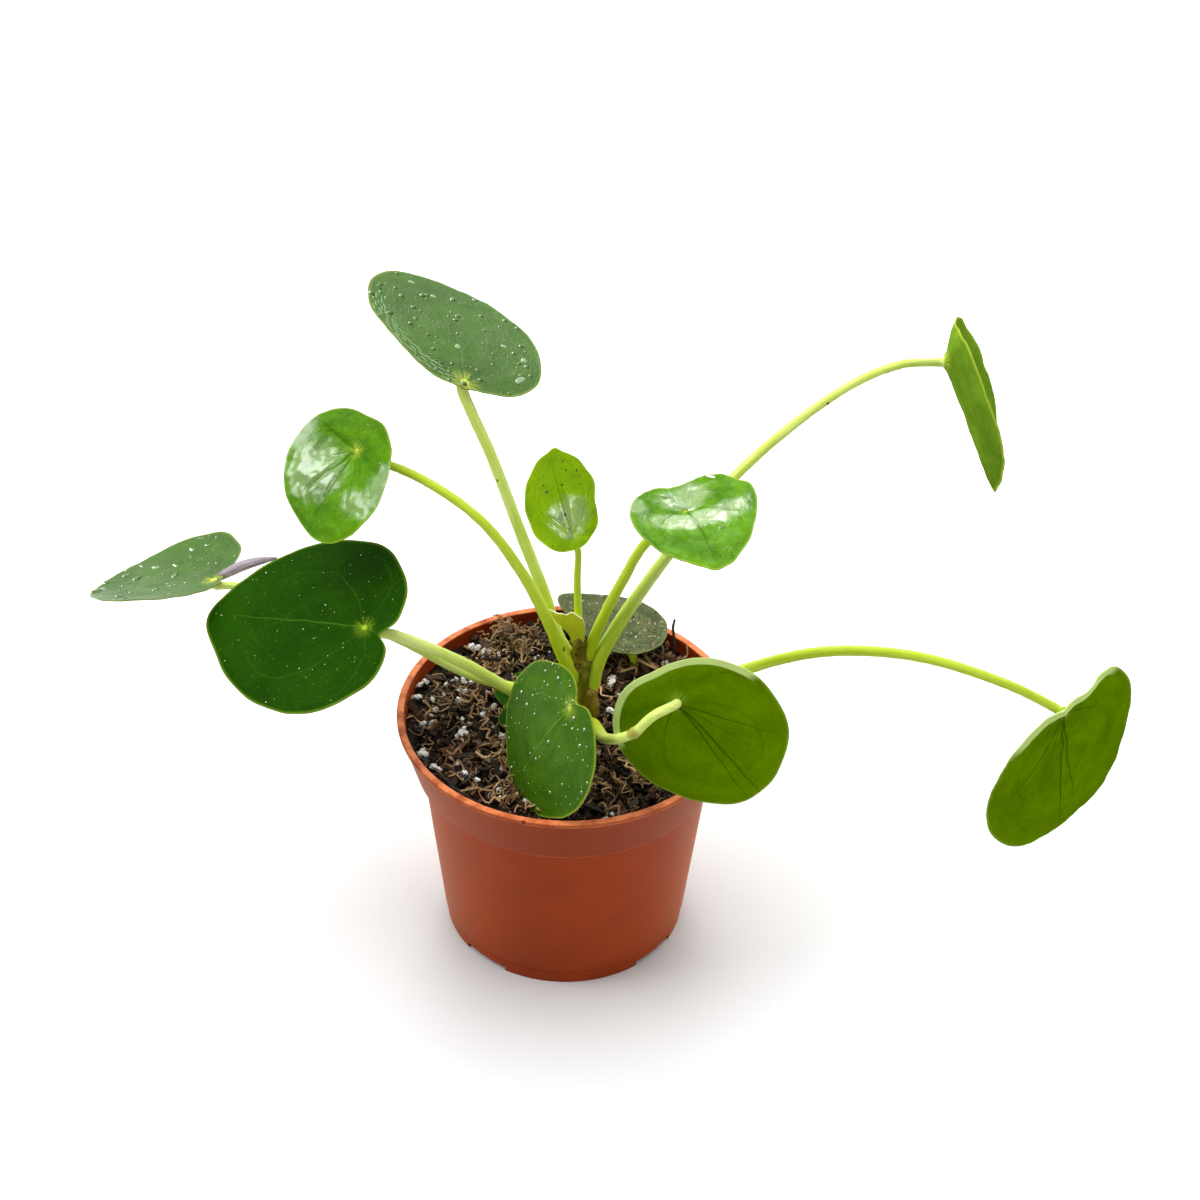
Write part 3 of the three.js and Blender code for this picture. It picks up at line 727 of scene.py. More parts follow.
def build_vein_group():
    tree, given, result = group(
        "Vein",
        {"Place": "Vector", "Start": "Vector", "Angle": "Float", "Length": "Float",
         "Bend": "Float", "Width": "Float", "Share": "Float"},
        {"Mask": "Float"})
    turned = add(tree, "VectorRotate", 0, dict(rotation_type="Z_AXIS"), Vector=given["Place"],
                 Center=given["Start"], Angle=given["Angle"] * -1.0)
    along, aside, _ = split(vector_maths("SUBTRACT", turned, given["Start"]))
    way = (along / given["Length"]).clamped()
    line = way * (1.0 - way) * 4.0 * given["Bend"]
    width = given["Width"] * ramp(way, 0.0, 1.0, 1.0, 0.35)
    body = ramp(abs(aside - line) / width, 0.35, 1.0, 1.0, 0.0)
    ahead = maths("GREATER_THAN", along, 0.0)
    fade = ramp(way, 0.75, 1.0, 1.0, 0.0)
    fill(tree, result, Mask=body * ahead * fade * given["Share"])


def vein_mask(place, vein):
    x, y, angle, length, bend, width, share = vein
    return placed_group(place.tree, "Vein", Place=place, Start=(x, y, 0), Angle=math.radians(angle),
                        Length=length, Bend=bend, Width=width, Share=share)["Mask"]


def build_leaf_group():
    """The pattern of a blade: its veins, mottling, pale middle and light margin."""
    tree, given, result = group(
        "Leaf face",
        {"Spot": "Vector", "Seed": "Float", "Colour": "Color", "Deep": "Color", "Pale": "Color",
         "Vein": "Color", "Vein share": "Float", "Star share": "Float", "Star size": "Float",
         "Margin share": "Float"},
        {"Colour": "Color", "Cloud": "Float", "Height": "Float"})
    along, across, out = split(given["Spot"])
    seed = given["Seed"]
    seeded = vector_maths("ADD", given["Spot"], vector(seed, seed, seed))
    swing = (noise_of(seeded, 4.0, 2.0) - 0.5) * 0.05
    x = along + swing * 0.6
    straight = vector(x, across + swing * 0.3)
    mirrored = vector(x, abs(across) + swing)
    veins = strongest([vein_mask(straight, MIDRIB)] + [vein_mask(mirrored, vein) for vein in SIDE_VEINS])

    cloud = noise_of(seeded, 3.0, 5.0)
    fine = noise_of(seeded, 26.0, 4.0, 0.7)
    share = ramp(cloud * 0.75 + fine * 0.3, 0.35, 0.72)
    colour = blend(share, given["Deep"], given["Colour"])
    colour = blend(veins * given["Vein share"], colour, given["Vein"])

    flat = vector(along, across)
    near = vector_maths("LENGTH", flat) / given["Star size"]
    streaks = ramp(noise_of(vector_maths("NORMALIZE", flat), 6.0, 3.0), 0.35, 0.7)
    core = ramp(near, 0.1, 0.32, 1.0, 0.0)
    halo = ramp(near, 0.1, 1.0, 0.7, 0.0) * streaks
    colour = blend(strongest([core, halo]) * given["Star share"], colour, given["Pale"])
    colour = blend(ramp(out, 0.965, 1.0) * given["Margin share"], colour, given["Pale"])
    specks = ramp(noise_of(seeded, 75.0, 1.0), 0.72, 0.78, 0.0, 0.5)
    colour = blend(specks, colour, given["Pale"])

    grain = noise_of(seeded, 60.0, 2.0)
    cells = add(tree, "TexVoronoi", 0, dict(feature="DISTANCE_TO_EDGE"), Vector=seeded, Scale=16.0)
    net = ramp(cells, 0.0, 0.12)
    height = grain * 0.25 + net * 0.15 + cloud * 0.5 - veins * 0.6
    fill(tree, result, Colour=colour, Cloud=share, Height=height)


# Materials

def finish(colour, deep, pale, vein, veins=0.4, star=0.6, size=0.2, margin=0.3, rough=0.6, gloss=0.0,
           depth=0.15, wet=(), veil=0.0, fan=(), dots=(), lip=None):
    """A blade face's finish: its four colours, the shares of its veins, star and margin, the star's size,
    its roughness and gloss, and its relief in millimetres. The sheen patches are (x, y, reach, reach,
    share) in shares of the blade's length and width: a glossy coat lies there, and a pale painted sheen
    whitens the colour by the painted sheen's share. "fan" are dark veins like SIDE_VEINS, "dots" dark
    spots as (x, y, radius), and "lip" is a pale band along the edge near the stalk, coloured like an edge
    that rolls over, from its share of the way to the edge, up to a place along the blade."""
    values = dict(locals())
    for name in ("colour", "deep", "pale", "vein"):
        values[name] = rgb(*values[name])
    return values


# The undersides that two looks have in common.
DARK_UNDER = finish((100, 138, 14), (80, 120, 8), (190, 205, 110), (150, 180, 60))
GLOSS_UNDER = finish((140, 176, 40), (116, 156, 24), (190, 210, 100), (170, 200, 80))

# The finishes of a blade's upper face and underside, by look.
LOOKS = {
    "dark": dict(
        top=finish((30, 70, 0), (21, 57, 0), (150, 182, 40), (74, 118, 26), star=0.9, size=0.08,
                   rough=0.5, gloss=0.02, depth=0.12),
        under=DARK_UNDER),
    "front": dict(
        top=finish((68, 111, 10), (50, 92, 5), (200, 212, 70), (120, 158, 50), veins=0.35, star=0.9,
                   size=0.1, margin=0.35, rough=0.42, gloss=0.1),
        under=DARK_UNDER),
    "grey": dict(
        top=finish((71, 109, 36), (57, 92, 24), (214, 224, 70), (96, 134, 60), veins=0.12, star=0.9,
                   size=0.12, margin=0.18, rough=0.34, gloss=0.5, depth=0.35),
        under=finish((158, 190, 40), (132, 166, 24), (190, 210, 110), (180, 200, 90))),
    "gloss": dict(
        top=finish((92, 144, 0), (62, 112, 0), (226, 236, 90), (52, 98, 4), veins=0.5, star=1.0,
                   size=0.09, margin=0.2, rough=0.32, gloss=0.1, depth=0.4, veil=0.22,
                   wet=[(0.25, -0.2, 0.25, 0.29, 0.85), (0.33, 0.34, 0.12, 0.2, 0.6),
                        (0.12, 0.48, 0.22, 0.18, 0.8), (0.06, -0.5, 0.2, 0.14, 0.5)],
                   fan=[(0, 0, -24, 0.52, 0, 0.016, 1), (0, 0, -101, 0.46, 0, 0.014, 0.9),
                        (0, 0, 2, 0.7, 0, 0.011, 0.6), (0, 0, 33, 0.5, 0.03, 0.012, 0.7),
                        (0, 0, 78, 0.4, 0.02, 0.012, 0.6), (0, 0, -58, 0.42, 0, 0.009, 0.5)]),
        under=GLOSS_UNDER),
    "pooled": dict(
        top=finish((94, 146, 8), (60, 108, 2), (226, 236, 90), (50, 96, 4), veins=0.45, star=1.0,
                   size=0.09, margin=0.2, rough=0.32, gloss=0.1, depth=0.4, veil=0.4,
                   wet=[(0.24, 0.03, 0.14, 0.46, 1.0), (-0.08, 0.02, 0.13, 0.26, 0.7),
                        (0.02, -0.4, 0.14, 0.1, 0.5)],
                   fan=[(0, 0, 0, 0.62, 0, 0.012, 0.7), (0, 0, 46, 0.5, 0.02, 0.01, 0.6),
                        (0, 0, -44, 0.5, -0.02, 0.01, 0.6), (0, 0, 24, 0.55, 0.02, 0.008, 0.5),
                        (0, 0, -22, 0.55, 0.02, 0.008, 0.5)]),
        under=GLOSS_UNDER),
    "young": dict(
        top=finish((150, 192, 0), (122, 168, 0), (224, 236, 90), (100, 146, 0), veins=0.5, star=0.9,
                   size=0.12, rough=0.32, gloss=0.1, depth=0.35, veil=0.25,
                   wet=[(0.19, -0.04, 0.22, 0.3, 1.0)],
                   fan=[(0, 0, 2, 0.6, 0, 0.02, 0.8), (0, 0, 38, 0.4, 0.02, 0.014, 0.6),
                        (0, 0, -36, 0.4, -0.02, 0.014, 0.6)],
                   dots=[(0.65, -0.16, 0.011), (0.61, -0.29, 0.013), (0.47, -0.27, 0.009),
                         (0.52, -0.06, 0.012), (0.58, 0.17, 0.011)]),
        under=finish((112, 150, 0), (90, 132, 0), (214, 232, 120), (168, 200, 60), veins=0.5,
                     margin=0.4, rough=0.55)),
    "high": dict(
        top=finish((120, 158, 40), (92, 128, 28), (224, 236, 90), (100, 146, 0), veins=0.5, star=0.9,
                   size=0.12, rough=0.4, depth=0.3),
        under=finish((126, 164, 32), (84, 118, 16), (200, 222, 110), (150, 184, 80), veins=0.6,
                     size=0.16, margin=0.4, rough=0.55, depth=0.3)),
    "olive": dict(
        top=finish((102, 136, 0), (82, 116, 0), (176, 204, 80), (50, 78, 0), veins=0.7, star=0.5,
                   size=0.1, rough=0.5, lip=(0.91, 0.06),
                   fan=[(0, 0, -7, 0.95, 0, 0.013, 1), (0, 0, -41, 0.7, 0.03, 0.01, 0.9),
                        (0, 0, -24, 0.62, 0.01, 0.007, 0.6), (0, 0, 36, 0.56, 0.07, 0.007, 0.6)]),
        under=finish((104, 144, 0), (88, 130, 0), (224, 240, 176), (72, 106, 0), veins=0.45, star=0.9,
                     size=0.3, margin=0.5)),
    "dusty": dict(
        top=finish((96, 106, 58), (60, 74, 38), (150, 160, 100), (90, 116, 56), veins=0.2, size=0.1,
                   rough=0.5, gloss=0.2, depth=0.5),
        under=finish((90, 130, 10), (70, 110, 6), (150, 180, 60), (120, 150, 40), veins=0.3)),
}

# The slot of each look, where it isn't the look's own name.
LOOK_SLOTS = {"front": "leaf_dark", "pooled": "leaf_gloss", "high": "leaf_young"}
SHEEN_IOR = 2.2
SHEEN_ROUGHNESS = 0.21
# The pale green that is painted into the sheen patches as a painted sheen.
SHEEN_COLOUR = rgb(214, 234, 180)
DOT_COLOUR = rgb(34, 40, 6)
LIP_COLOUR = rgb(196, 220, 130)

# The stalks' light, deep and fleck colours, by look.
STALK_LOOKS = {
    "stalk_pale": (rgb(228, 242, 146), rgb(198, 218, 84), rgb(240, 248, 190)),
    "stalk_green": (rgb(208, 228, 74), rgb(178, 204, 34), rgb(236, 244, 160)),
}

# The direction of the light painted on the drops: their colour is painted pale, with a painted highlight,
# on the side turned to it and dark on the other.
DROP_GLINT = (-0.55, -0.25, 0.8)


def slot_of(look):
    return LOOK_SLOTS.get(look, f"leaf_{look}")


def leaf_material(name, look, seed):
    made, tree, shader = material(name)
    spot = attribute(tree, "spot", "Vector")
    face = placed_group(tree, "Leaf face", Spot=spot, Seed=seed, Colour=look["colour"],
                        Deep=look["deep"], Pale=look["pale"], Vein=look["vein"],
                        Vein_share=look["veins"], Star_share=look["star"], Star_size=look["size"],
                        Margin_share=look["margin"])
    colour = face["Colour"]
    if look["fan"]:
        fan = strongest([vein_mask(spot, vein) for vein in look["fan"]])
        colour = blend(fan * look["veins"], colour, look["vein"])
    for x, y, radius in look["dots"]:
        away = distance(spot, (x, y), (radius, radius))
        colour = blend(ramp(away, 0.7, 1.2, 0.9, 0.0), colour, DOT_COLOUR)
    if look["lip"]:
        along, _, out = split(spot)
        start, reach = look["lip"]
        rolled = ramp(out, start, start + 0.02) * ramp(along, reach, reach + 0.08, 1.0, 0.0)
        colour = blend(rolled, colour, LIP_COLOUR)
    # Sheen patches: a glossy coat lies there, and the colour is whitened toward a pale green as a painted
    # sheen.
    if look["wet"]:
        ragged = noise_of(spot, 9.0, 5.0, 0.65) * 1.1
        if look["fan"]:
            ragged = ragged + fan * 0.5
        wet = strongest([ramp(distance(spot, (x, y), reach) + ragged, 1.0, 1.7, share, 0.0)
                         for x, y, *reach, share in look["wet"]])
        colour = blend(wet * look["veil"], colour, SHEEN_COLOUR)
        fill(tree, shader, Coat_Weight=wet, Coat_IOR=SHEEN_IOR, Coat_Roughness=SHEEN_ROUGHNESS)
    rough = ramp(face["Cloud"], 0.0, 1.0, look["rough"] + 0.06, look["rough"] - 0.06)
    fill(tree, shader, Base_Color=colour, Roughness=rough, Specular_IOR_Level=look["gloss"],
         Normal=bump(face["Height"], look["depth"]))
    return made


def rim_material():
    """The cut edge of the blades."""
    made, tree, shader = material("leaf_rim")
    share = noise_of(object_place(tree), 180.0, 3.0)
    fill(tree, shader, Base_Color=blend(share, rgb(120, 160, 40), rgb(176, 200, 90)), Roughness=0.5)
    return made


def stalk_material(name, colour, deep, pale):
    """Fleshy stalk with fine lines along it, pale flecks, brown specks and scars where its tone is 1."""
    made, tree, shader = material(name)
    axes = split(attribute(tree, "grain", "Vector"))
    place = object_place(tree)
    streak = lines_along(axes, 0.03, 4.0)
    broad = noise_of(place, 40.0, 2.0)
    body = blend(ramp(streak * 0.6 + broad * 0.4, 0.35, 0.65), deep, colour)
    body = blend(ramp(axes[0], 10, 65, 0.8, 0.0), body, rgb(202, 224, 24))
    fleck = ramp(noise_of(place, 900.0, 1.0), 0.68, 0.8)
    body = blend(fleck * 0.5, body, pale)
    speck = ramp(noise_of(place, 330.0, 0.0), 0.82, 0.84)
    body = blend(speck, body, rgb(90, 74, 20))
    scar = ramp(attribute(tree, "tone") + fleck * 0.3, 0.35, 0.75)
    bark = blend(noise_of(place, 800.0, 2.0), rgb(96, 70, 8), rgb(176, 164, 60))
    body = blend(scar, body, bark)
    fill(tree, shader, Base_Color=body, Roughness=ramp(streak, 0.3, 0.7, 0.42, 0.3),
         Specular_IOR_Level=0.25, Subsurface_Weight=0.25, Subsurface_Radius=(0.6, 1.0, 0.1),
         Subsurface_Scale=0.002, Normal=bump(streak, 0.12))
    return made


def trunk_material():
    """Knobbly green-brown bark with dark dots, a brown crown and pale scars."""
    made, tree, shader = material("trunk_bark")
    place = object_place(tree)
    aside, _, high = split(place)
    broad = noise_of(add(tree, "Mapping", Vector=place, Scale=(1, 1, 0.35)), 260.0, 5.0)
    mottling = ramp(broad, 0.35, 0.65)
    low = blend(mottling, rgb(104, 76, 16), rgb(150, 124, 44))
    top = blend(mottling, rgb(108, 112, 20), rgb(150, 150, 44))
    colour = blend(ramp(high, 0.094, 0.108, 0.15, 0.75), low, top)
    crown = ramp(high, 0.110, 0.116) * ramp(aside + broad * 0.004, 0.0045, 0.0062)
    colour = blend(crown * 0.8, colour, rgb(112, 86, 14))
    spots = ramp(noise_of(place, 480.0, 1.0), 0.66, 0.72)
    colour = blend(spots * 0.8, colour, rgb(44, 26, 8))
    colour = blend(attribute(tree, "tone") * 0.6, colour, rgb(170, 134, 70))
    fill(tree, shader, Base_Color=colour, Roughness=ramp(broad, 0.3, 0.7, 0.5, 0.62),
         Specular_IOR_Level=0.25, Normal=bump(broad, 0.4))
    return made


def near_height(high, level, core, edge):
    """1 near a level, and 0 more than an edge away from it."""
    return ramp(abs(high - level), core, edge, 1.0, 0.0)


def plastic_material():
    """Terracotta-coloured plastic: fine mottling, painted highlights on the rim's top and edges, painted
    shade from the collar's foot up, dirt specks and faint scuffs.
    """
    made, tree, shader = material("pot_plastic")
    place = object_place(tree)
    high = split(place)[2] / MM
    reach = distance(place, (0, 0), (MM, MM))
    broad = noise_of(place, 22.0)
    fine = noise_of(place, 700.0, 3.0)
    # Painted shade: from the collar's foot up the plastic is painted darker.
    collar = ramp(high, COLLAR_BOTTOM - 0.5, COLLAR_BOTTOM + 1, 0.0, 0.8)
    scuffs = ramp(noise_of(place, 160.0, 6.0, 0.75), 0.64, 0.76) * ramp(high, 66, 90, 0.12, 0.5)

    # Painted highlights: the rim's top, its lip and outer face, and the collar's lower corner are painted
    # lighter, broken up patchily.
    top = (ramp(high, POT_HEIGHT - 0.4, POT_HEIGHT - 0.1, 0.0, 0.85)
           * ramp(reach, RIM_INSIDE - 0.4, RIM_INSIDE))
    lip = (near_height(high, RIM_BOTTOM, 0.25, 0.5)
           * ramp(reach, RIM_RADIUS - 0.7, RIM_RADIUS - 0.4, 0.0, 0.8))
    face = ramp(reach, RIM_RADIUS - 0.5, RIM_RADIUS - 0.1, 0.0, 0.35)
    corner = (near_height(high, COLLAR_BOTTOM, 0.3, 0.7)
              * ramp(reach, COLLAR_RADIUS - 0.8, COLLAR_RADIUS - 0.5, 0.0, 0.35))
    patchy = ramp(noise_of(place, 130.0, 5.0, 0.7), 0.35, 0.6, 0.25, 1.0)
    wear = strongest([top, lip, face, corner]) * patchy

    dots = ramp(add(tree, "TexVoronoi", "Distance", Vector=place, Scale=150.0), 0.05, 0.16, 1.0, 0.0)
    rare = ramp(noise_of(place, 60.0, 2.0), 0.54, 0.62)
    dirt = dots * rare * ramp(high, 60, 80, 0.25, 1.0)

    colour = blend(ramp(broad, 0.3, 0.7), rgb(152, 54, 10), rgb(168, 63, 15))
    for share, paint in ((collar, rgb(138, 49, 13)), (scuffs, rgb(112, 44, 16)),
                         (wear, rgb(238, 138, 84)), (dirt, rgb(58, 26, 14))):
        colour = blend(share, colour, paint)
    fill(tree, shader, Base_Color=colour, Roughness=ramp(broad, 0.3, 0.7, 0.38, 0.46),
         Specular_IOR_Level=0.1, Sheen_Weight=0.45, Sheen_Roughness=0.35,
         Sheen_Tint=rgb(255, 172, 112), Normal=bump(fine * 0.4 + broad * 0.6, 0.08))
    return made


def soil_material():
    """Nearly black wet soil with brown crumbs."""
    made, tree, shader = material("soil_earth")
    place = object_place(tree)
    broad = noise_of(place, 120.0, 6.0, 0.7)
    fine = noise_of(place, 700.0, 4.0, 0.7)
    colour = blend(ramp(broad, 0.4, 0.65), rgb(7, 4, 3), rgb(30, 18, 11))
    colour = blend(ramp(fine, 0.6, 0.74), colour, rgb(84, 58, 38))
    fill(tree, shader, Base_Color=colour, Roughness=ramp(fine, 0.3, 0.7, 0.55, 0.85),
         Specular_IOR_Level=0.25, Normal=bump(fine * 0.5 + broad * 0.8, 1.0))
    return made


def litter_material(name, dark, light, rough):
    """Bark, crumbs, grains or fibres, whose tone differs from piece to piece."""
    made, tree, shader = material(name)
    fine = noise_of(object_place(tree), 900.0, 4.0, 0.7)
    share = (attribute(tree, "tone") * 0.85 + (fine - 0.45) * 0.5).clamped()
    fill(tree, shader, Base_Color=blend(share, dark, light), Roughness=rough, Normal=bump(fine, 0.5))
    return made


def dry_material():
    """Papery grey, brown where it grew on the plant."""
    made, tree, shader = material("dry_bract")
    axes = split(attribute(tree, "grain", "Vector"))
    streak = lines_along(axes, 0.05, 6.0)
    colour = blend(ramp(streak, 0.35, 0.65), rgb(120, 104, 114), rgb(190, 178, 186))
    colour = blend(ramp(axes[0], 0.0, 5.0, 0.75, 0.0), colour, rgb(46, 34, 36))
    fill(tree, shader, Base_Color=colour, Roughness=0.6, Normal=bump(streak, 0.2))
    return made


def water_material():
    """Water with painted light: its colour is painted dark on the side turned away from one direction and
    pale, with a painted highlight, on the side turned to it. The larger drops, whose tone is 1, are painted
    pale all over as a painted sheen."""
    made, tree, shader = material("water")
    lit = vector_maths("DOT_PRODUCT", add(tree, "NewGeometry", "Normal"), DROP_GLINT)
    ripple = noise_of(object_place(tree), 400.0, 1.0)
    # Painted shading: dark on the side turned from the painted light, pale on the side turned to it.
    clear = blend(ramp(lit, 0.1, 0.55), rgb(56, 86, 30), rgb(136, 170, 104))
    # Painted sheen: the larger drops, whose tone is 1, are painted pale all over.
    clear = blend(ramp(attribute(tree, "tone"), 0.9, 1.0), clear, rgb(196, 226, 176))
    glint = ramp(lit, 0.91, 0.98)
    fill(tree, shader, Base_Color=blend(glint, clear, rgb(232, 244, 216)),
         Roughness=ramp(ripple, 0.0, 1.0, 0.02, 0.08), IOR=1.38, Specular_IOR_Level=0.85,
         Transmission_Weight=ramp(glint, 0.0, 1.0, 0.6, 0.0))
    return made


# Operators


class PILEA_PG_look(bpy.types.PropertyGroup):
    """The studio round the plant."""

    overhead: FloatProperty(
        name="Overhead light", description="Power of the big soft light above and behind",
        default=17.0, min=0, unit="POWER")
    left: FloatProperty(
        name="Left light", description="Power of the softbox at the upper left",
        default=6.0, min=0, unit="POWER")
    right: FloatProperty(
        name="Right light", description="Power of the softbox at the right",
        default=1.5, min=0, unit="POWER")
    back: FloatProperty(
        name="Back light", description="Power of the softbox above and behind",
        default=5.0, min=0, unit="POWER")
    backdrop: FloatProperty(
        name="Backdrop glow", description="Brightness of the white backdrop behind the plant",
        default=1.22, min=0)
    front: FloatProperty(
        name="Front glow", description="Brightness of the room on the camera's side",
        default=0.12, min=0)
    floor_colour: FloatVectorProperty(
        name="Floor", description="Colour of the studio floor", subtype="COLOR", size=4,
        min=0, max=1, default=(0.97, 0.97, 0.97, 1))


class PILEA_PG_pot(bpy.types.PropertyGroup):
    """The pot and what fills it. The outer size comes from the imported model."""

    rounding: FloatProperty(
        name="Edge rounding", description="Radius of the moulded edges of the rim and collar",
        default=0.45 * MM, min=0, unit="LENGTH")
    crumbs: IntProperty(
        name="Crumbs", description="How many soil crumbs lie on the soil", default=2600, min=0)
    chips: IntProperty(
        name="Bark chips", description="How many bark splinters lie on the soil", default=520, min=0)
    grains: IntProperty(
        name="White grains", description="How many perlite grains lie on the soil", default=120, min=0)
    fibres: IntProperty(
        name="Root fibres", description="How many curly root fibres lie on the soil", default=560, min=0)


class PILEA_PG_leaves(bpy.types.PropertyGroup):
    """The blades, stalks and water on them."""

    blade: FloatProperty(
        name="Blade thickness", description="Thickness of a blade away from its edge and its stalk",
        default=BLADE_THICKNESS * MM, min=0, unit="LENGTH")
    edge: FloatProperty(
        name="Edge thickness", description="Thickness of a blade at its edge",
        default=EDGE_THICKNESS * MM, min=0, unit="LENGTH")
    wetness: FloatProperty(
        name="Drops", description="Share of the water drops that are set on the blades",
        default=1.0, min=0, max=1, subtype="FACTOR")


# The camera: its lens in millimetres on a 36 mm square frame, its distance from the pot's foot, how far
# it looks down, its shift to the right and up, and its roll.
CAMERA_LENS = 80.3
CAMERA_DISTANCE = 1000.0
CAMERA_TILT = 37.76
CAMERA_SHIFT = (10.67, 111.45)
CAMERA_ROLL = -1.35

# The lights: place and size in metres, and whether glossy surfaces mirror them.
LIGHTS = {
    "overhead": ((-0.1, 0.35, 1.5), 1.7, False),
    "left": ((-0.85, -0.12, 1.05), 0.75, True),
    "right": ((0.86, -0.91, 0.5), 0.3, True),
    "back": ((-0.09, 1.05, 0.95), 0.7, True),
}

# How much of the backdrop's brightness is mirrored by glossy surfaces, and the floor's colour as light
# that falls from it on the plant sees it, painted darker near the pot as a painted shadow, and in its faint
# mottling.
GLOSSY_SHARE = 0.32
FLOOR_BOUNCE = (0.6, 0.6, 0.6, 1)
FLOOR_NEAR = (0.78, 0.79, 0.79, 1)
FLOOR_FLECK = (0.9, 0.9, 0.9, 1)


def soft_light(name, place, size, power):
    """A round area light that looks at the plant's middle."""
    bpy.ops.object.light_add(type="AREA", location=place)
    light = named(bpy.context.object, name)
    light.data.shape = "DISK"
    light.data.size = size
    light.data.energy = power
    aim = Vector((0, 0, 0.1)) - light.location
    light.rotation_euler = aim.to_track_quat("-Z", "Y").to_euler()
    return light


def studio_world(look):
    """A white backdrop behind, a dim room in front, and plain white where the camera looks."""
    world = bpy.data.worlds.new("studio")
    bpy.context.scene.world = world
    world.use_nodes = True
    tree = world.node_tree
    behind = split(add(tree, "TexCoord", "Generated"))[1]
    glow = ramp(behind, -0.85, 0.2, look.front, look.backdrop)
    glossy = add(tree, "LightPath", "Is Glossy Ray")
    glow = glow * ramp(glossy, 0.0, 1.0, 1.0, GLOSSY_SHARE)
    seen = add(tree, "LightPath", "Is Camera Ray")
    fill(tree, tree.nodes["Background"], Color=(1, 1, 1, 1), Strength=strongest([glow, seen]))


def studio_camera():
    cam_data = bpy.data.cameras.new("camera")
    cam = bpy.data.objects.new("camera", cam_data)
    bpy.context.scene.collection.objects.link(cam)
    cam_data.sensor_width = 36.0
    cam_data.lens = CAMERA_LENS
    cam_data.clip_start = 0.05
    cam_data.clip_end = 30
    tilt = math.radians(CAMERA_TILT)
    ahead = Vector((0, math.cos(tilt), -math.sin(tilt)))
    up = Vector((0, math.sin(tilt), math.cos(tilt)))
    right = Vector((1, 0, 0))
    turn = Matrix.Rotation(math.radians(CAMERA_ROLL), 3, ahead)
    cam.location = (right * CAMERA_SHIFT[0] + up * CAMERA_SHIFT[1] - ahead * CAMERA_DISTANCE) * MM
    axes = Matrix((turn @ right, turn @ up, -(turn @ ahead))).transposed()
    cam.rotation_euler = axes.to_euler()
    bpy.context.scene.camera = cam


class PILEA_OT_stage(bpy.types.Operator):
    """Make the pale floor, the soft studio light and the camera"""

    bl_idname = "pilea.stage"
    bl_label = "Stage"

    def execute(self, context):
        look = context.scene.pilea_look
        deselect()
        bpy.ops.mesh.primitive_grid_add(x_subdivisions=8, y_subdivisions=8, size=12)
        floor = named(context.object, "studio_floor")
        made, tree, shader = material("studio_floor")
        place = object_place(tree)
        reach = distance(place, (0, 0), (1, 1))
        # Painted shadow: the floor's colour is darker near the pot.
        colour = blend(ramp(reach, 0.1, 0.42), FLOOR_NEAR, tuple(look.floor_colour))
        colour = blend(noise_of(place, 2.0, 2.0) * 0.02, colour, FLOOR_FLECK)
        seen = add(tree, "LightPath", "Is Camera Ray")
        fill(tree, shader, Base_Color=blend(seen, FLOOR_BOUNCE, colour), Roughness=0.9,
             Specular_IOR_Level=0.0)
        dress(floor, [made])
        floor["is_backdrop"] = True
        for side, (place, size, mirrored) in LIGHTS.items():
            light = soft_light(f"{side}_light", place, size, getattr(look, side))
            light.visible_glossy = mirrored
        studio_world(look)
        studio_camera()
        context.scene.view_settings.view_transform = "Standard"
        return {"FINISHED"}


def rounded_profile(corners):
    """A profile through the corners (radius, height, rounding), each rounded by an arc."""
    outline = []
    for i, (r, z, rounding) in enumerate(corners):
        here = Vector((r, z))
        if rounding == 0 or i in (0, len(corners) - 1):
            outline.append(here)
            continue
        before = (Vector(corners[i - 1][:2]) - here).normalized()
        after = (Vector(corners[i + 1][:2]) - here).normalized()
        half = before.angle(after) / 2
        reach = rounding / math.tan(half)
        middle = here + (before + after).normalized() * rounding / math.sin(half)
        start = here + before * reach - middle
        end = here + after * reach - middle
        for step in range(ROUNDING_STEPS + 1):
            spoke = start.lerp(end, step / ROUNDING_STEPS).normalized() * rounding
            outline.append(middle + spoke)
    return outline


def drain_and_notch_tools():
    """The solids that cut the pot's foot notches and drain holes, as one object."""
    tools = []
    for i in range(NOTCH_COUNT):
        turn = math.radians(NOTCH_FIRST + 360 * i / NOTCH_COUNT)
        deselect()
        bpy.ops.mesh.primitive_cube_add(size=1)
        tool = bpy.context.object
        width = 2 * FOOT_RADIUS * math.sin(math.radians(NOTCH_ANGLE / 2))
        place = Matrix.Rotation(turn, 4, "Z") @ Matrix.Translation(
            (FOOT_RADIUS * MM, 0, NOTCH_BLOCK_MIDDLE * MM))
        deep, high = NOTCH_BLOCK
        tool.data.transform(place @ Matrix.Diagonal((deep * MM, width * MM, high * MM, 1)))
        tools.append(tool)
    for i in range(DRAIN_COUNT):
        turn = 2 * math.pi * i / DRAIN_COUNT
        deselect()
        bpy.ops.mesh.primitive_cylinder_add(vertices=32, radius=DRAIN_RADIUS * MM, depth=20 * MM)
        tool = bpy.context.object
        place = Vector((math.cos(turn), math.sin(turn), 0)) * DRAIN_CIRCLE * MM
        tool.data.transform(Matrix.Translation(place))
        tools.append(tool)
    return join(tools)


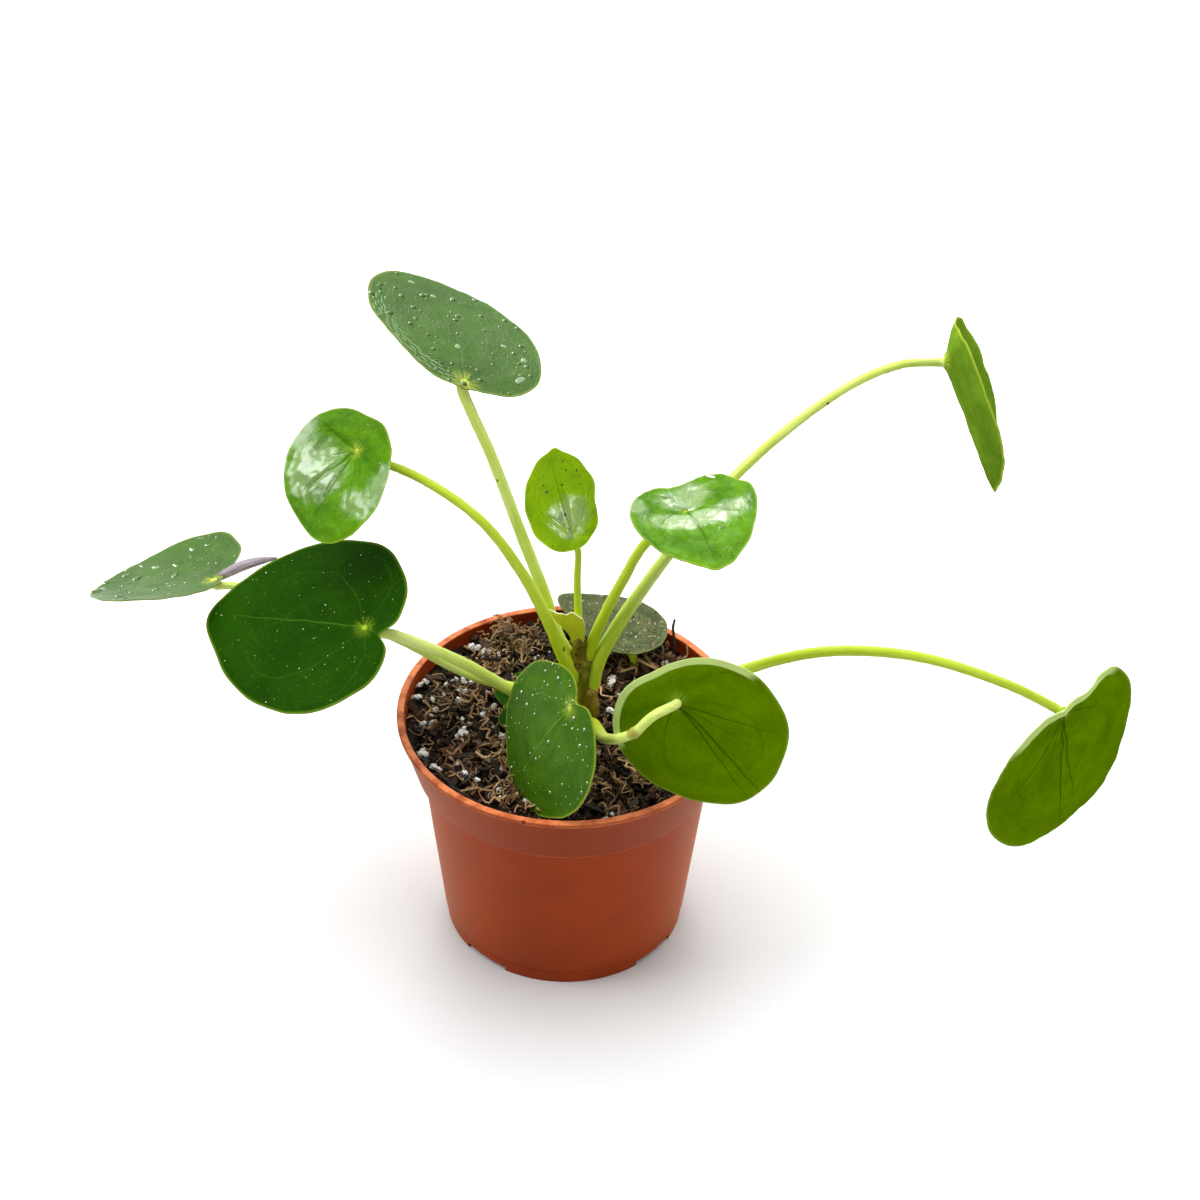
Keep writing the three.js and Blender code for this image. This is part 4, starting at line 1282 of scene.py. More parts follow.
class PILEA_OT_pot(bpy.types.Operator):
    """Turn the plastic pot from its profile, and cut its foot notches and drain holes"""

    bl_idname = "pilea.pot"
    bl_label = "Pot"

    def execute(self, context):
        edge = context.scene.pilea_pot.rounding / MM
        corners = [
            (0, 0, 0), (PAD_RADIUS, 0, 0.3), (PAD_RADIUS + 0.5, FLOOR_GAP, 0.3),
            (FOOT_RADIUS - WALL, FLOOR_GAP, 0.3), (FOOT_RADIUS - WALL, 0, 0.2), (FOOT_RADIUS, 0, 0.2),
            (FOOT_RADIUS + 0.5, FOOT_LINE_HEIGHT - 0.3, 0.1), (FOOT_RADIUS + 0.35, FOOT_LINE_HEIGHT, 0.1),
            (FOOT_RADIUS + 0.9, FOOT_LINE_HEIGHT + 0.35, 0.15), (BODY_TOP_RADIUS, COLLAR_BOTTOM, 0.2),
            (COLLAR_RADIUS, COLLAR_BOTTOM, edge), (RIM_RADIUS - 0.6, RIM_BOTTOM, 0.1),
            (RIM_RADIUS, RIM_BOTTOM, 0.25), (RIM_RADIUS, POT_HEIGHT, edge), (RIM_INSIDE, POT_HEIGHT, edge),
            (RIM_INSIDE, RIM_BOTTOM - 2, 0.5), (COLLAR_RADIUS - WALL, COLLAR_BOTTOM + WALL, 0.5),
            (BODY_TOP_RADIUS - WALL, COLLAR_BOTTOM, 0.3), (FOOT_RADIUS - WALL + 0.3, FLOOR_TOP, 0.5),
            (0, FLOOR_TOP, 0)]
        profile = rounded_profile(corners)
        deselect()
        bpy.ops.mesh.primitive_plane_add(size=0.01)
        pot = named(context.object, "pot_shell")
        edit(pot)
        bpy.ops.mesh.merge(type="CENTER")
        for here, there in zip(profile, profile[1:]):
            step = (there - here) * MM
            bpy.ops.mesh.extrude_region_move(TRANSFORM_OT_translate={"value": (step.x, 0, step.y)})
        bpy.ops.mesh.select_all(action="SELECT")
        bpy.ops.mesh.spin(steps=180, angle=2 * math.pi, center=(0, 0, 0), axis=(0, 0, 1))
        bpy.ops.mesh.select_all(action="SELECT")
        bpy.ops.mesh.remove_doubles(threshold=1e-6)
        bpy.ops.mesh.normals_make_consistent(inside=False)
        leave_edit()
        tools = drain_and_notch_tools()
        apply(pot, "BOOLEAN", object=tools, operation="DIFFERENCE", solver="EXACT")
        remove(tools)
        for vertex in pot.data.vertices:
            place = vertex.co / MM
            reach = place.xy.length
            if reach > RIM_INSIDE + 0.2 and place.z > RIM_BOTTOM - 2:
                nick = noise.noise(place * 0.55) - 0.45
                if nick > 0:
                    vertex.co.xy *= 1 - 0.9 * nick / reach
        finish_piece(pot, [plastic_material()], "pot_plastic", ["pot"], 30)
        return {"FINISHED"}


# The knee of the front right stalk, where an old scar rings it, and how far the knee swells and reaches.
KNEE = Vector((23, -50, 124.6))
KNEE_SWELL = 0.45
KNEE_LENGTH = 1.3
SCAR_LENGTH = 3.1
# The length of a stalk's flare at the blade, and of its narrowing to the root.
FLARE_LENGTH = 3.5
PINCH_LENGTH = 7


def stalk_path(leaf):
    """A stalk's path, which meets the blade's underside nearly square."""
    facing = matrix_of(leaf).col[2].xyz
    end = Vector(leaf["at"]) - facing * 0.7
    return smooth_path([*leaf["stalk"][:-1], end - facing * 1.4, end], 1.2)


class PILEA_OT_leaves(bpy.types.Operator):
    """Shape every blade and its stalk"""

    bl_idname = "pilea.leaves"
    bl_label = "Leaves"

    def execute(self, context):
        sizes = context.scene.pilea_leaves
        shares = [(ring / RINGS) ** RING_CROWDING for ring in range(RINGS, 0, -1)]
        blank = ring_disc("blade_blank", SECTORS, shares)
        rim = rim_material()
        faces = {}
        for seed, (look, parts) in enumerate(LOOKS.items()):
            faces[look] = [leaf_material(f"leaf_{look}_top", parts["top"], seed + 0.5),
                           leaf_material(f"leaf_{look}_under", parts["under"], seed + 10.5), rim]
        stalks = {look: stalk_material(look, *colours) for look, colours in STALK_LOOKS.items()}
        for name, leaf in LEAVES.items():
            piece = blade(blank, f"leaf_{name}", leaf, sizes.blade / MM, sizes.edge / MM)
            finish_piece(piece, faces[leaf["look"]], slot_of(leaf["look"]), [f"blade_{name}"])
            self.stalk(name, leaf, stalks[leaf["stalk_look"]])
        remove(blank)
        return {"FINISHED"}

    def stalk(self, name, leaf, skin):
        root, end, flaring = leaf["thick"]
        path = stalk_path(leaf)
        length = sum((b - a).length for a, b in zip(path, path[1:]))

        def girth(way):
            radius = end + (root - end) * (1 - way) ** 2
            flare = max(0.0, 1 - (1 - way) * length / FLARE_LENGTH)
            pinch = max(0.0, 1 - way * length / PINCH_LENGTH)
            spot = path[round(way * (len(path) - 1))]
            knee = KNEE_SWELL * bell((spot - KNEE).length, KNEE_LENGTH)
            return radius * (1 + flaring * flare**2 - 0.5 * pinch**1.5) + knee

        stalk = tube(f"petiole_{name}", path, girth, 20)
        for vertex in stalk.data.vertices:
            place = vertex.co / MM
            vertex.co += vertex.normal * 0.12 * noise.noise(place * Vector((0.5, 0.5, 0.35))) * MM
        mark_grain(stalk, path)
        mark_tone(stalk, lambda place: bell((place - KNEE).length, SCAR_LENGTH))
        finish_piece(stalk, [skin], leaf["stalk_look"], [f"stalk_{name}"])


# The young leaf at the top of the trunk: a folded fan, in rows from its foot to its wavy top. Each row
# is its height above the foot, its half width, how far it leans left and how far its sides curl.
BUD_FOOT = Vector((3.2, 1.2, 120.5))
BUD_ROWS = [(0, 2.0, 0.2, 0.5), (2.4, 2.3, 0.1, 0.6), (4.8, 3.1, 0.5, 0.7), (7.2, 4.1, 1.4, 0.8),
            (9.6, 5.0, 2.5, 0.9), (12, 5.6, 3.5, 1.0), (14.4, 5.8, 4.1, 1.1)]
BUD_LEAN = -0.05
BUD_THICKNESS = 0.5
# The young leaf's colours are pushed pale: partly its own yellow-green, partly a painted glow for light
# shining through it.
BUD_LOOK = finish((238, 246, 56), (222, 234, 34), (250, 252, 210), (240, 246, 120), star=0.0, size=0.1,
                  margin=0.9, rough=0.45, gloss=0.15, depth=0.25)


class PILEA_OT_bud(bpy.types.Operator):
    """Fold the young leaf at the top of the trunk"""

    bl_idname = "pilea.bud"
    bl_label = "Young leaf"

    def execute(self, context):
        deselect()
        bpy.ops.mesh.primitive_grid_add(x_subdivisions=60, y_subdivisions=36, size=2)
        sheet = named(context.object, "leaf_bud")
        rows = smooth_path([Vector(row[:3]) for row in BUD_ROWS], 0.25)
        curls = [row[3] for row in BUD_ROWS]
        spots = []
        for vertex in sheet.data.vertices:
            way = (vertex.co.y + 1) / 2
            side = vertex.co.x
            row = rows[round(way * (len(rows) - 1))]
            at = way * (len(curls) - 1)
            low = min(int(at), len(curls) - 2)
            curl = curls[low] + (curls[low + 1] - curls[low]) * (at - low)
            dip = 1.3 * bell(side - 0.05, 0.2) * way**4
            droop = 3.6 * max(0.0, side - 0.35) ** 1.6 * way**3
            lobe = 0.4 * math.sin(5 * side + 1) * way**3
            x = row.y * side - row.z
            back = curl * side**2 * (1.0 if side < 0 else -0.35) + 0.3 * math.sin(5 * side) * way**2
            up = row.x - dip - droop + lobe
            vertex.co = (BUD_FOOT + Vector((x, back + BUD_LEAN * row.x, up))) * MM
            spots.extend((0.05 + 0.5 * way, 0.5 * side, max(abs(side), way)))
        write_attribute(sheet.data, "spot", spots)
        apply(sheet, "SOLIDIFY", thickness=BUD_THICKNESS * MM, offset=0)
        apply(sheet, "SUBSURF", levels=1, render_levels=1)
        skin = leaf_material("leaf_bud", BUD_LOOK, 21.5)
        finish_piece(sheet, [skin], "leaf_young", ["blade_bud", "stalk_bud"])
        return {"FINISHED"}


# Soil

SOIL_RINGS = 48
SOIL_SECTORS = 160
SOIL_EDGE = 56.8
FULL_TURN = 6.3


def soil_relief(x, y):
    """Height of the soil's rough top above its level."""
    broad = 0.9 * math.sin(0.13 * x + 0.6) * math.cos(0.11 * y - 0.4)
    clumps = 1.9 * noise.fractal(Vector((x, y, 0)) * 0.15, 0.8, 2.2, 4)
    return broad + clumps + 0.03 * (y - 10)


def scattered(name, models, places):
    """One mesh of many copies of the models, each copy's tone in the "tone" attribute.
    Each place is the number of its model, its matrix in millimetres and its tone."""
    points, faces, tones = [], [], []
    for number, matrix, tone in places:
        model = models[number].data
        start = len(points)
        points.extend((matrix @ vertex.co) * MM for vertex in model.vertices)
        faces.extend([start + corner for corner in face.vertices] for face in model.polygons)
        tones.extend([tone] * len(model.vertices))
    mesh = bpy.data.meshes.new(name)
    mesh.from_pydata(points, [], faces)
    write_attribute(mesh, "tone", tones, "FLOAT")
    obj = bpy.data.objects.new(name, mesh)
    bpy.context.scene.collection.objects.link(obj)
    return obj


def lay_litter(name, models, places, skin):
    """Copies of the models as one loose piece of the soil. The models are used up."""
    finish_piece(scattered(name, models, places), [skin], "soil", angle=40)
    for model in models:
        remove(model)


def rough_lump(name, seed, cuts, spread, stretch):
    """A rough grain of about radius 1, from a round primitive whose points are moved at random."""
    deselect()
    bpy.ops.mesh.primitive_ico_sphere_add(subdivisions=cuts, radius=1)
    lump = bpy.context.object
    edit(lump)
    bpy.ops.transform.vertex_random(offset=spread, uniform=0.6, normal=0.4, seed=seed)
    bpy.ops.transform.resize(value=stretch)
    leave_edit()
    return named(lump, name)


def bark_piece(name, seed, cuts=0):
    """A splintered bark chip, 2 long and 1 wide, with broken ends."""
    deselect()
    bpy.ops.mesh.primitive_cube_add(size=1)
    chip = bpy.context.object
    edit(chip)
    bpy.ops.transform.resize(value=(2, 1, 0.42))
    bpy.ops.mesh.bevel(offset=0.07, segments=1)
    bpy.ops.mesh.select_all(action="SELECT")
    if cuts:
        bpy.ops.mesh.subdivide(number_cuts=cuts, fractal=0.6, fractal_along_normal=0.4, seed=seed)
    bpy.ops.transform.vertex_random(offset=0.16 / (1 + cuts), uniform=1.0, seed=seed)
    leave_edit()
    return named(chip, name)


def root_fibre(name, seed, girth):
    """A curly root fibre about 2 long."""
    draw = random.Random(seed)
    bends = [Vector((2 * i / 7 - 1, 0.5 * draw.uniform(-1, 1), 0.35 * draw.uniform(-1, 1)))
             for i in range(8)]
    path = smooth_path(bends, 0.16)
    return tube(name, [p / MM for p in path], lambda way: girth / MM * (1 - 0.6 * way), 4)


def soil_spot(draw, share):
    reach = math.sqrt(draw.random()) * share * SOIL_EDGE
    angle = 2 * math.pi * draw.random()
    return reach * math.cos(angle), reach * math.sin(angle)


def lying(x, y, lift, turn, tilt, roll=0):
    """A matrix that lays a model on the soil."""
    z = SOIL_LEVEL + soil_relief(x, y) + lift
    spin = Matrix.Rotation(turn, 4, "Z") @ Matrix.Rotation(tilt, 4, "Y") @ Matrix.Rotation(roll, 4, "X")
    return Matrix.Translation((x, y, z)) @ spin


def tumbled(draw, x, y, lift, tilt, roll=0):
    """The same at random, with the least and greatest lift and the greatest tilt and roll."""
    height = draw.uniform(*lift)
    turn = draw.uniform(0, FULL_TURN)
    lean = draw.uniform(-tilt, tilt)
    return lying(x, y, height, turn, lean, draw.uniform(-roll, roll) if roll else 0)


def sized(length, width, height):
    return Matrix.Diagonal((length, width, height, 1))


def soil_body():
    shares = [ring / SOIL_RINGS for ring in range(SOIL_RINGS, 0, -1)]
    body = ring_disc("soil_body", SOIL_SECTORS, shares)
    edit(body)
    bpy.ops.mesh.select_all(action="DESELECT")
    bpy.ops.mesh.select_non_manifold()
    wall = [(SOIL_EDGE, SOIL_LEVEL), (COLLAR_RADIUS - WALL - 0.3, COLLAR_BOTTOM + 2),
            (BODY_TOP_RADIUS - WALL - 0.3, COLLAR_BOTTOM), (FOOT_RADIUS - 1.4, FLOOR_TOP + 0.3)]
    for (r0, z0), (r1, z1) in zip(wall, wall[1:]):
        bpy.ops.mesh.extrude_region_move(
            TRANSFORM_OT_translate={"value": (0, 0, (z1 - z0) / SOIL_EDGE)})
        bpy.ops.transform.resize(value=(r1 / r0, r1 / r0, 1))
    bpy.ops.mesh.edge_face_add()
    bpy.ops.mesh.select_all(action="SELECT")
    bpy.ops.mesh.normals_make_consistent(inside=False)
    leave_edit()
    for vertex in body.data.vertices:
        x, y, z = vertex.co * SOIL_EDGE
        if z > -0.01:
            rough = noise.fractal(Vector((x, y, 0)) * 0.28, 0.8, 2.2, 5)
            held = 1 - min(1, (math.hypot(x, y) / SOIL_EDGE) ** 12)
            z = soil_relief(x, y) * held + 1.5 * rough * held
        vertex.co = Vector((x, y, z + SOIL_LEVEL)) * MM
    return body


# Big pieces of bark: place, height above the soil, turn, tilt and size.
BARK_PIECES = [
    (-24, 43, 2.6, 2.5, 0.5, (4.2, 4, 5)),
    (-30, 38, 2.2, 2.2, -0.4, (3.6, 3, 4)),
    (-17, 46, 2.0, 0.3, 0.4, (3.4, 3, 4)),
    (-20, 39, 1.8, 1.2, 0.7, (3.4, 2.4, 4)),
    (36, 31, 2.4, 2.4, 0.6, (3.2, 2.6, 5)),
    (43, 22, 2.0, 1.2, 0.5, (3, 2.4, 4)),
    (39, 27, 2.6, 0.4, 0.9, (3.4, 1.6, 3)),
]
# A wad of pale roots at the back, and where white grains lie together.
ROOT_WAD = (-23, 41)
ROOT_WAD_COUNT = 60
GRAIN_SPOTS = [(-52, 17), (-54, 9), (-49, 10), (-36, 18), (-38, 13), (-30, 0.5), (-36, -9), (-51, -4),
               (-49.5, -19.5), (-45, -26), (-35, 38.5), (-30, 36), (16, 19), (16, 4), (35, 31)]
TWIG = [(37.5, 38.6, 84), (37.9, 38.8, 94), (37.4, 38.9, 99), (37.8, 38.9, 102.5)]
TWIG_RADIUS = 0.7


class PILEA_OT_soil(bpy.types.Operator):
    """Fill the pot with soil and scatter bark, crumbs, white grains and root fibres on it"""

    bl_idname = "pilea.soil"
    bl_label = "Soil"

    def execute(self, context):
        amount = context.scene.pilea_pot
        body = soil_body()
        finish_piece(body, [soil_material()], "soil", ["soil"], 180)
        self.crumbs(random.Random(7), amount.crumbs)
        self.chips(random.Random(11), amount.chips)
        self.grains(random.Random(13), amount.grains)
        self.fibres(random.Random(17), amount.fibres)
        self.twig()
        return {"FINISHED"}

    def crumbs(self, draw, count):
        models = [rough_lump(f"crumb_{i}", i, 1, 0.35, (1, 0.8, 0.6)) for i in range(4)]
        places = []
        for i in range(count):
            x, y = soil_spot(draw, 0.985)
            size = draw.uniform(0.35, 1.6) ** 1.2
            matrix = tumbled(draw, x, y, (-0.2, 1.2), 0.6, 0.6) @ sized(size, size, size)
            places.append((i % 4, matrix, draw.random() ** 5))
        skin = litter_material("soil_crumb", rgb(6, 4, 3), rgb(112, 78, 50), 0.5)
        lay_litter("soil_crumbs", models, places, skin)

    def chips(self, draw, count):
        models = [bark_piece(f"chip_{i}", i) for i in range(5)]
        models.append(bark_piece("chip_big", 9, 3))
        places = []
        for i in range(count):
            x, y = soil_spot(draw, 0.95)
            size = draw.uniform(1.4, 4.2)
            matrix = tumbled(draw, x, y, (0.1, 2.2), 0.7, 0.8)
            matrix = matrix @ sized(size, size * draw.uniform(0.25, 0.7), size * 0.7)
            places.append((i % 5, matrix, draw.random() ** 3))
        for x, y, lift, turn, tilt, size in BARK_PIECES:
            places.append((5, lying(x, y, lift, turn, tilt) @ sized(*size), 0.4))
        skin = litter_material("bark_chip", rgb(8, 5, 3), rgb(128, 86, 54), 0.4)
        lay_litter("bark_chips", models, places, skin)

    def grains(self, draw, count):
        models = [rough_lump(f"grain_{i}", 20 + i, 2, 0.3, (1, 0.8, 0.75)) for i in range(4)]
        places = []
        for i in range(count):
            x, y = soil_spot(draw, 0.94)
            if i % 3:
                x = -abs(x)
            size = draw.uniform(0.4, 1.0) if i % 3 else draw.uniform(0.9, 1.8)
            matrix = tumbled(draw, x, y, (0.9, 2.2), 1) @ sized(size * draw.uniform(1, 1.5), size, size)
            places.append((i % 4, matrix, draw.random()))
        for i, (x, y) in enumerate(GRAIN_SPOTS * 3):
            size = draw.uniform(0.8, 1.5)
            x += draw.gauss(0, 1.1)
            y += draw.gauss(0, 1.1)
            matrix = tumbled(draw, x, y, (1.4, 2.6), 1) @ sized(size * draw.uniform(1, 1.4), size, size)
            places.append((i % 4, matrix, draw.uniform(0.5, 1)))
        skin = litter_material("perlite", rgb(176, 166, 150), rgb(252, 250, 246), 0.7)
        lay_litter("perlite_grains", models, places, skin)

    def fibres(self, draw, count):
        models = [root_fibre(f"fibre_{i}", i, 0.05 if i % 2 else 0.095) for i in range(8)]
        places = []
        for i in range(count):
            x, y = soil_spot(draw, 0.9)
            size = draw.uniform(2.5, 7)
            matrix = tumbled(draw, x, y, (0.6, 3.0), 0.35, 1) @ sized(size, size, size)
            places.append((i % 8, matrix, draw.random() ** 1.3))
        for i in range(ROOT_WAD_COUNT):
            x, y = (middle + draw.gauss(0, 5) for middle in ROOT_WAD)
            size = draw.uniform(2, 4.5)
            matrix = tumbled(draw, x, y, (1, 6.5), 0.9, 1) @ sized(size, size, size)
            places.append((i % 8, matrix, draw.uniform(0.3, 0.9)))
        skin = litter_material("root_fibre", rgb(52, 30, 15), rgb(222, 178, 124), 0.45)
        lay_litter("root_fibres", models, places, skin)

    def twig(self):
        path = smooth_path(TWIG, 0.6)
        twig = tube("soil_twig", path, lambda way: TWIG_RADIUS * (1 - 0.4 * way), 10)
        for vertex in twig.data.vertices:
            vertex.co += vertex.normal * 0.18 * noise.noise(vertex.co / MM * 0.9) * MM
        mark_tone(twig, lambda place: 0.35)
        skin = litter_material("dead_twig", rgb(30, 18, 12), rgb(120, 86, 66), 0.6)
        finish_piece(twig, [skin], "soil")


# Trunk and bract

def leaf_scar(x, y, z, radius):
    """A cup-shaped scar that faces out from the trunk, with a raised rim."""
    deselect()
    bpy.ops.mesh.primitive_uv_sphere_add(segments=24, ring_count=16, radius=radius * MM)
    scar = bpy.context.object
    for vertex in scar.data.vertices:
        vertex.select = vertex.co.z > 0.8 * radius * MM
    bpy.ops.object.mode_set(mode="EDIT")
    bpy.ops.transform.translate(value=(0, 0, -0.8 * radius * MM))
    leave_edit()
    outward = Vector((x, y, 0.6 * radius)) - Vector((7.2, 2, 0))
    turn = outward.to_track_quat("Z", "Y").to_matrix().to_4x4()
    scar.data.transform(Matrix.Translation(Vector((x, y, z)) * MM) @ turn)
    mark_tone(scar, lambda place: 1.0)
    return scar


class PILEA_OT_trunk(bpy.types.Operator):
    """Shape the knobbly trunk with its scars"""

    bl_idname = "pilea.trunk"
    bl_label = "Trunk"

    def execute(self, context):
        path = smooth_path(TRUNK_LINE, 0.4)

        def girth(way):
            rings = max(0.0, math.sin(way * TRUNK_RINGS * math.pi)) ** 10
            node = bell(way - TRUNK_NODE, 0.035)
            waist = min(1.0, max(0.0, (way - TRUNK_NODE) / (1 - TRUNK_NODE)))
            cap = max(0.0, (way - 0.95) / 0.05)
            swell = TRUNK_RADIUS + 0.3 * rings + 0.9 * node
            return swell - TRUNK_TAPER * waist**0.6 - TRUNK_TAPER * cap**2

        trunk = tube("trunk_stem", path, girth, 40)
        for vertex in trunk.data.vertices:
            place = vertex.co / MM
            push = 0.35 * noise.fractal(place * Vector((0.45, 0.45, 0.2)), 0.8, 2.1, 4)
            vertex.co += vertex.normal * push * MM
        mark_tone(trunk, lambda place: 0.0)
        join([trunk] + [leaf_scar(*scar) for scar in TRUNK_SCARS])
        finish_piece(trunk, [trunk_material()], "trunk", ["trunk"])
        return {"FINISHED"}


BRACT_LINE = [(-124.4, 20.4, 129.8), (-121.8, 21.2, 131.5), (-115.4, 23, 134.4), (-109.2, 24, 136.1),
              (-102.6, 25, 136.8)]
BRACT_THICKNESS = 0.22


class PILEA_OT_bract(bpy.types.Operator):
    """Roll the dry papery bract"""

    bl_idname = "pilea.bract"
    bl_label = "Bract"

    def execute(self, context):
        deselect()
        bpy.ops.mesh.primitive_grid_add(x_subdivisions=48, y_subdivisions=14, size=2)
        sheet = named(context.object, "dry_bract")
        path = smooth_path(BRACT_LINE, 0.4)
        grain = []
        for vertex in sheet.data.vertices:
            way = (vertex.co.x + 1) / 2
            at = way * (len(path) - 1)
            low = min(int(at), len(path) - 2)
            middle = path[low].lerp(path[low + 1], at - low)
            ahead = (path[low + 1] - path[low]).normalized()
            up = Vector((0, -0.62, 0.79))
            side = ahead.cross(up).normalized()
            up = side.cross(ahead)
            width = 0.25 + 1.5 * math.sin(math.pi * min(1, 0.12 + 0.88 * way)) ** 0.8
            curl = vertex.co.y * (1.9 - 0.5 * way)
            crease = 0.15 * noise.noise(Vector((way * 9, vertex.co.y * 2, 4)))
            spot = middle + side * width * math.sin(curl) + up * width * (math.cos(curl) - 0.5 + crease)
            grain.extend(((path[low] - path[0]).length, vertex.co.y, 0))
            vertex.co = spot * MM
        write_attribute(sheet.data, "grain", grain)
        apply(sheet, "SOLIDIFY", thickness=BRACT_THICKNESS * MM, offset=0)
        finish_piece(sheet, [dry_material()], "dry_bract", ["bract"])
        return {"FINISHED"}


# Water drops: how many sit on each blade, their least and greatest radius, and how long they may run.
DROPS = {
    "high_left": (150, 0.3, 1.2, 1.5),
    "front": (84, 0.3, 0.9, 1.3),
    "far_left": (48, 0.3, 1.2, 2.4),
    "front_left": (40, 0.2, 0.4, 1.2),
    "back_low": (26, 0.3, 0.9, 1.3),
    "low_left": (8, 0.25, 0.5, 1.3),
    "mid_left": (5, 0.2, 0.45, 1.3),
    "mid_right": (8, 0.25, 0.7, 1.8),
    "crown": (12, 0.2, 0.6, 1.3),
    "far_right": (12, 0.18, 0.3, 1.3),
}
# Larger drops and wet streaks: blade, share of the way to its edge, angle, half length and width, and
# which way it runs, from 0 outwards to 90 along the edge.
POOLS = [
    ("mid_right", 0.59, -169.5, 4.2, 2.4, 90), ("mid_right", 0.46, 168, 2.6, 1.6, 60),
    ("mid_right", 0.8, -160, 2.6, 1.5, 90), ("mid_right", 0.95, 150, 3, 0.7, 60),
    ("crown", 0.69, 178.8, 1.5, 1.1, 0), ("crown", 0.3, 150, 2.4, 0.8, 20),
    ("high_left", 0.3, 171, 1.3, 1, 0), ("high_left", 0.57, -95, 1.2, 1, 0),
    ("high_left", 0.79, -107, 1.5, 1.1, 90), ("high_left", 0.85, -136, 3, 1.2, 90),
    ("high_left", 0.61, 5.5, 1.2, 1, 0), ("high_left", 0.82, 18.7, 1.4, 1, 60),
    *(("high_left", 0.8 + 0.17 * (i * 0.618 % 1), 72 + 2.3 * i, 1.4 + (i * 0.37 % 1) * 1.6, 0.28, 90)
      for i in range(42)),
    ("far_left", 0.9, 14, 2.2, 0.9, 90), ("far_left", 0.6, -43, 1.6, 0.9, 30),
]
# How far a drop is sunk in its blade, and the least gap between two drops.
DROP_SINK = 0.05
DROP_GAP = 0.2
DUST_LEAF = "back_low"
DUST_COUNT = 420
DUST_LIFT = 0.05


def blade_spot(leaf, share, angle):
    """The place and the upward normal of a spot on a blade's upper face, in millimetres."""
    place = matrix_of(leaf)
    u, v = blade_plane(leaf, share, angle)
    step = 0.3
    slope_u = (blade_height(leaf, u + step, v) - blade_height(leaf, u - step, v)) / (2 * step)
    slope_v = (blade_height(leaf, u, v + step) - blade_height(leaf, u, v - step)) / (2 * step)
    normal = place.to_3x3() @ Vector((-slope_u, -slope_v, 1)).normalized()
    return place @ Vector((u, v, blade_height(leaf, u, v))), normal


def set_on(spot, normal, lift, spin):
    """A matrix that sets a model on a blade, turned about the blade's normal."""
    turn = normal.to_track_quat("Z", "Y").to_matrix().to_4x4()
    return Matrix.Translation(spot + normal * lift) @ turn @ Matrix.Rotation(spin, 4, "Z")


class PILEA_OT_dust(bpy.types.Operator):
    """Sprinkle soil crumbs on the low leaf at the back"""

    bl_idname = "pilea.dust"
    bl_label = "Soil on the back leaf"

    def execute(self, context):
        draw = random.Random(3)
        leaf = LEAVES[DUST_LEAF]
        models = [rough_lump(f"dust_{i}", 30 + i, 1, 0.3, (1, 0.7, 0.5)) for i in range(3)]
        places = []
        for i in range(DUST_COUNT):
            spot, normal = blade_spot(leaf, math.sqrt(draw.random()) * 0.95, 2 * math.pi * draw.random())
            size = 0.14 + 0.5 * draw.random() ** 3
            matrix = set_on(spot, normal, DUST_LIFT, draw.uniform(0, FULL_TURN))
            matrix = matrix @ sized(size * draw.uniform(1, 2.4), size, size)
            places.append((i % 3, matrix, draw.random()))
        skin = litter_material("leaf_dust", rgb(40, 26, 18), rgb(206, 178, 150), 0.7)
        lay_litter("leaf_dust", models, places, skin)
        return {"FINISHED"}


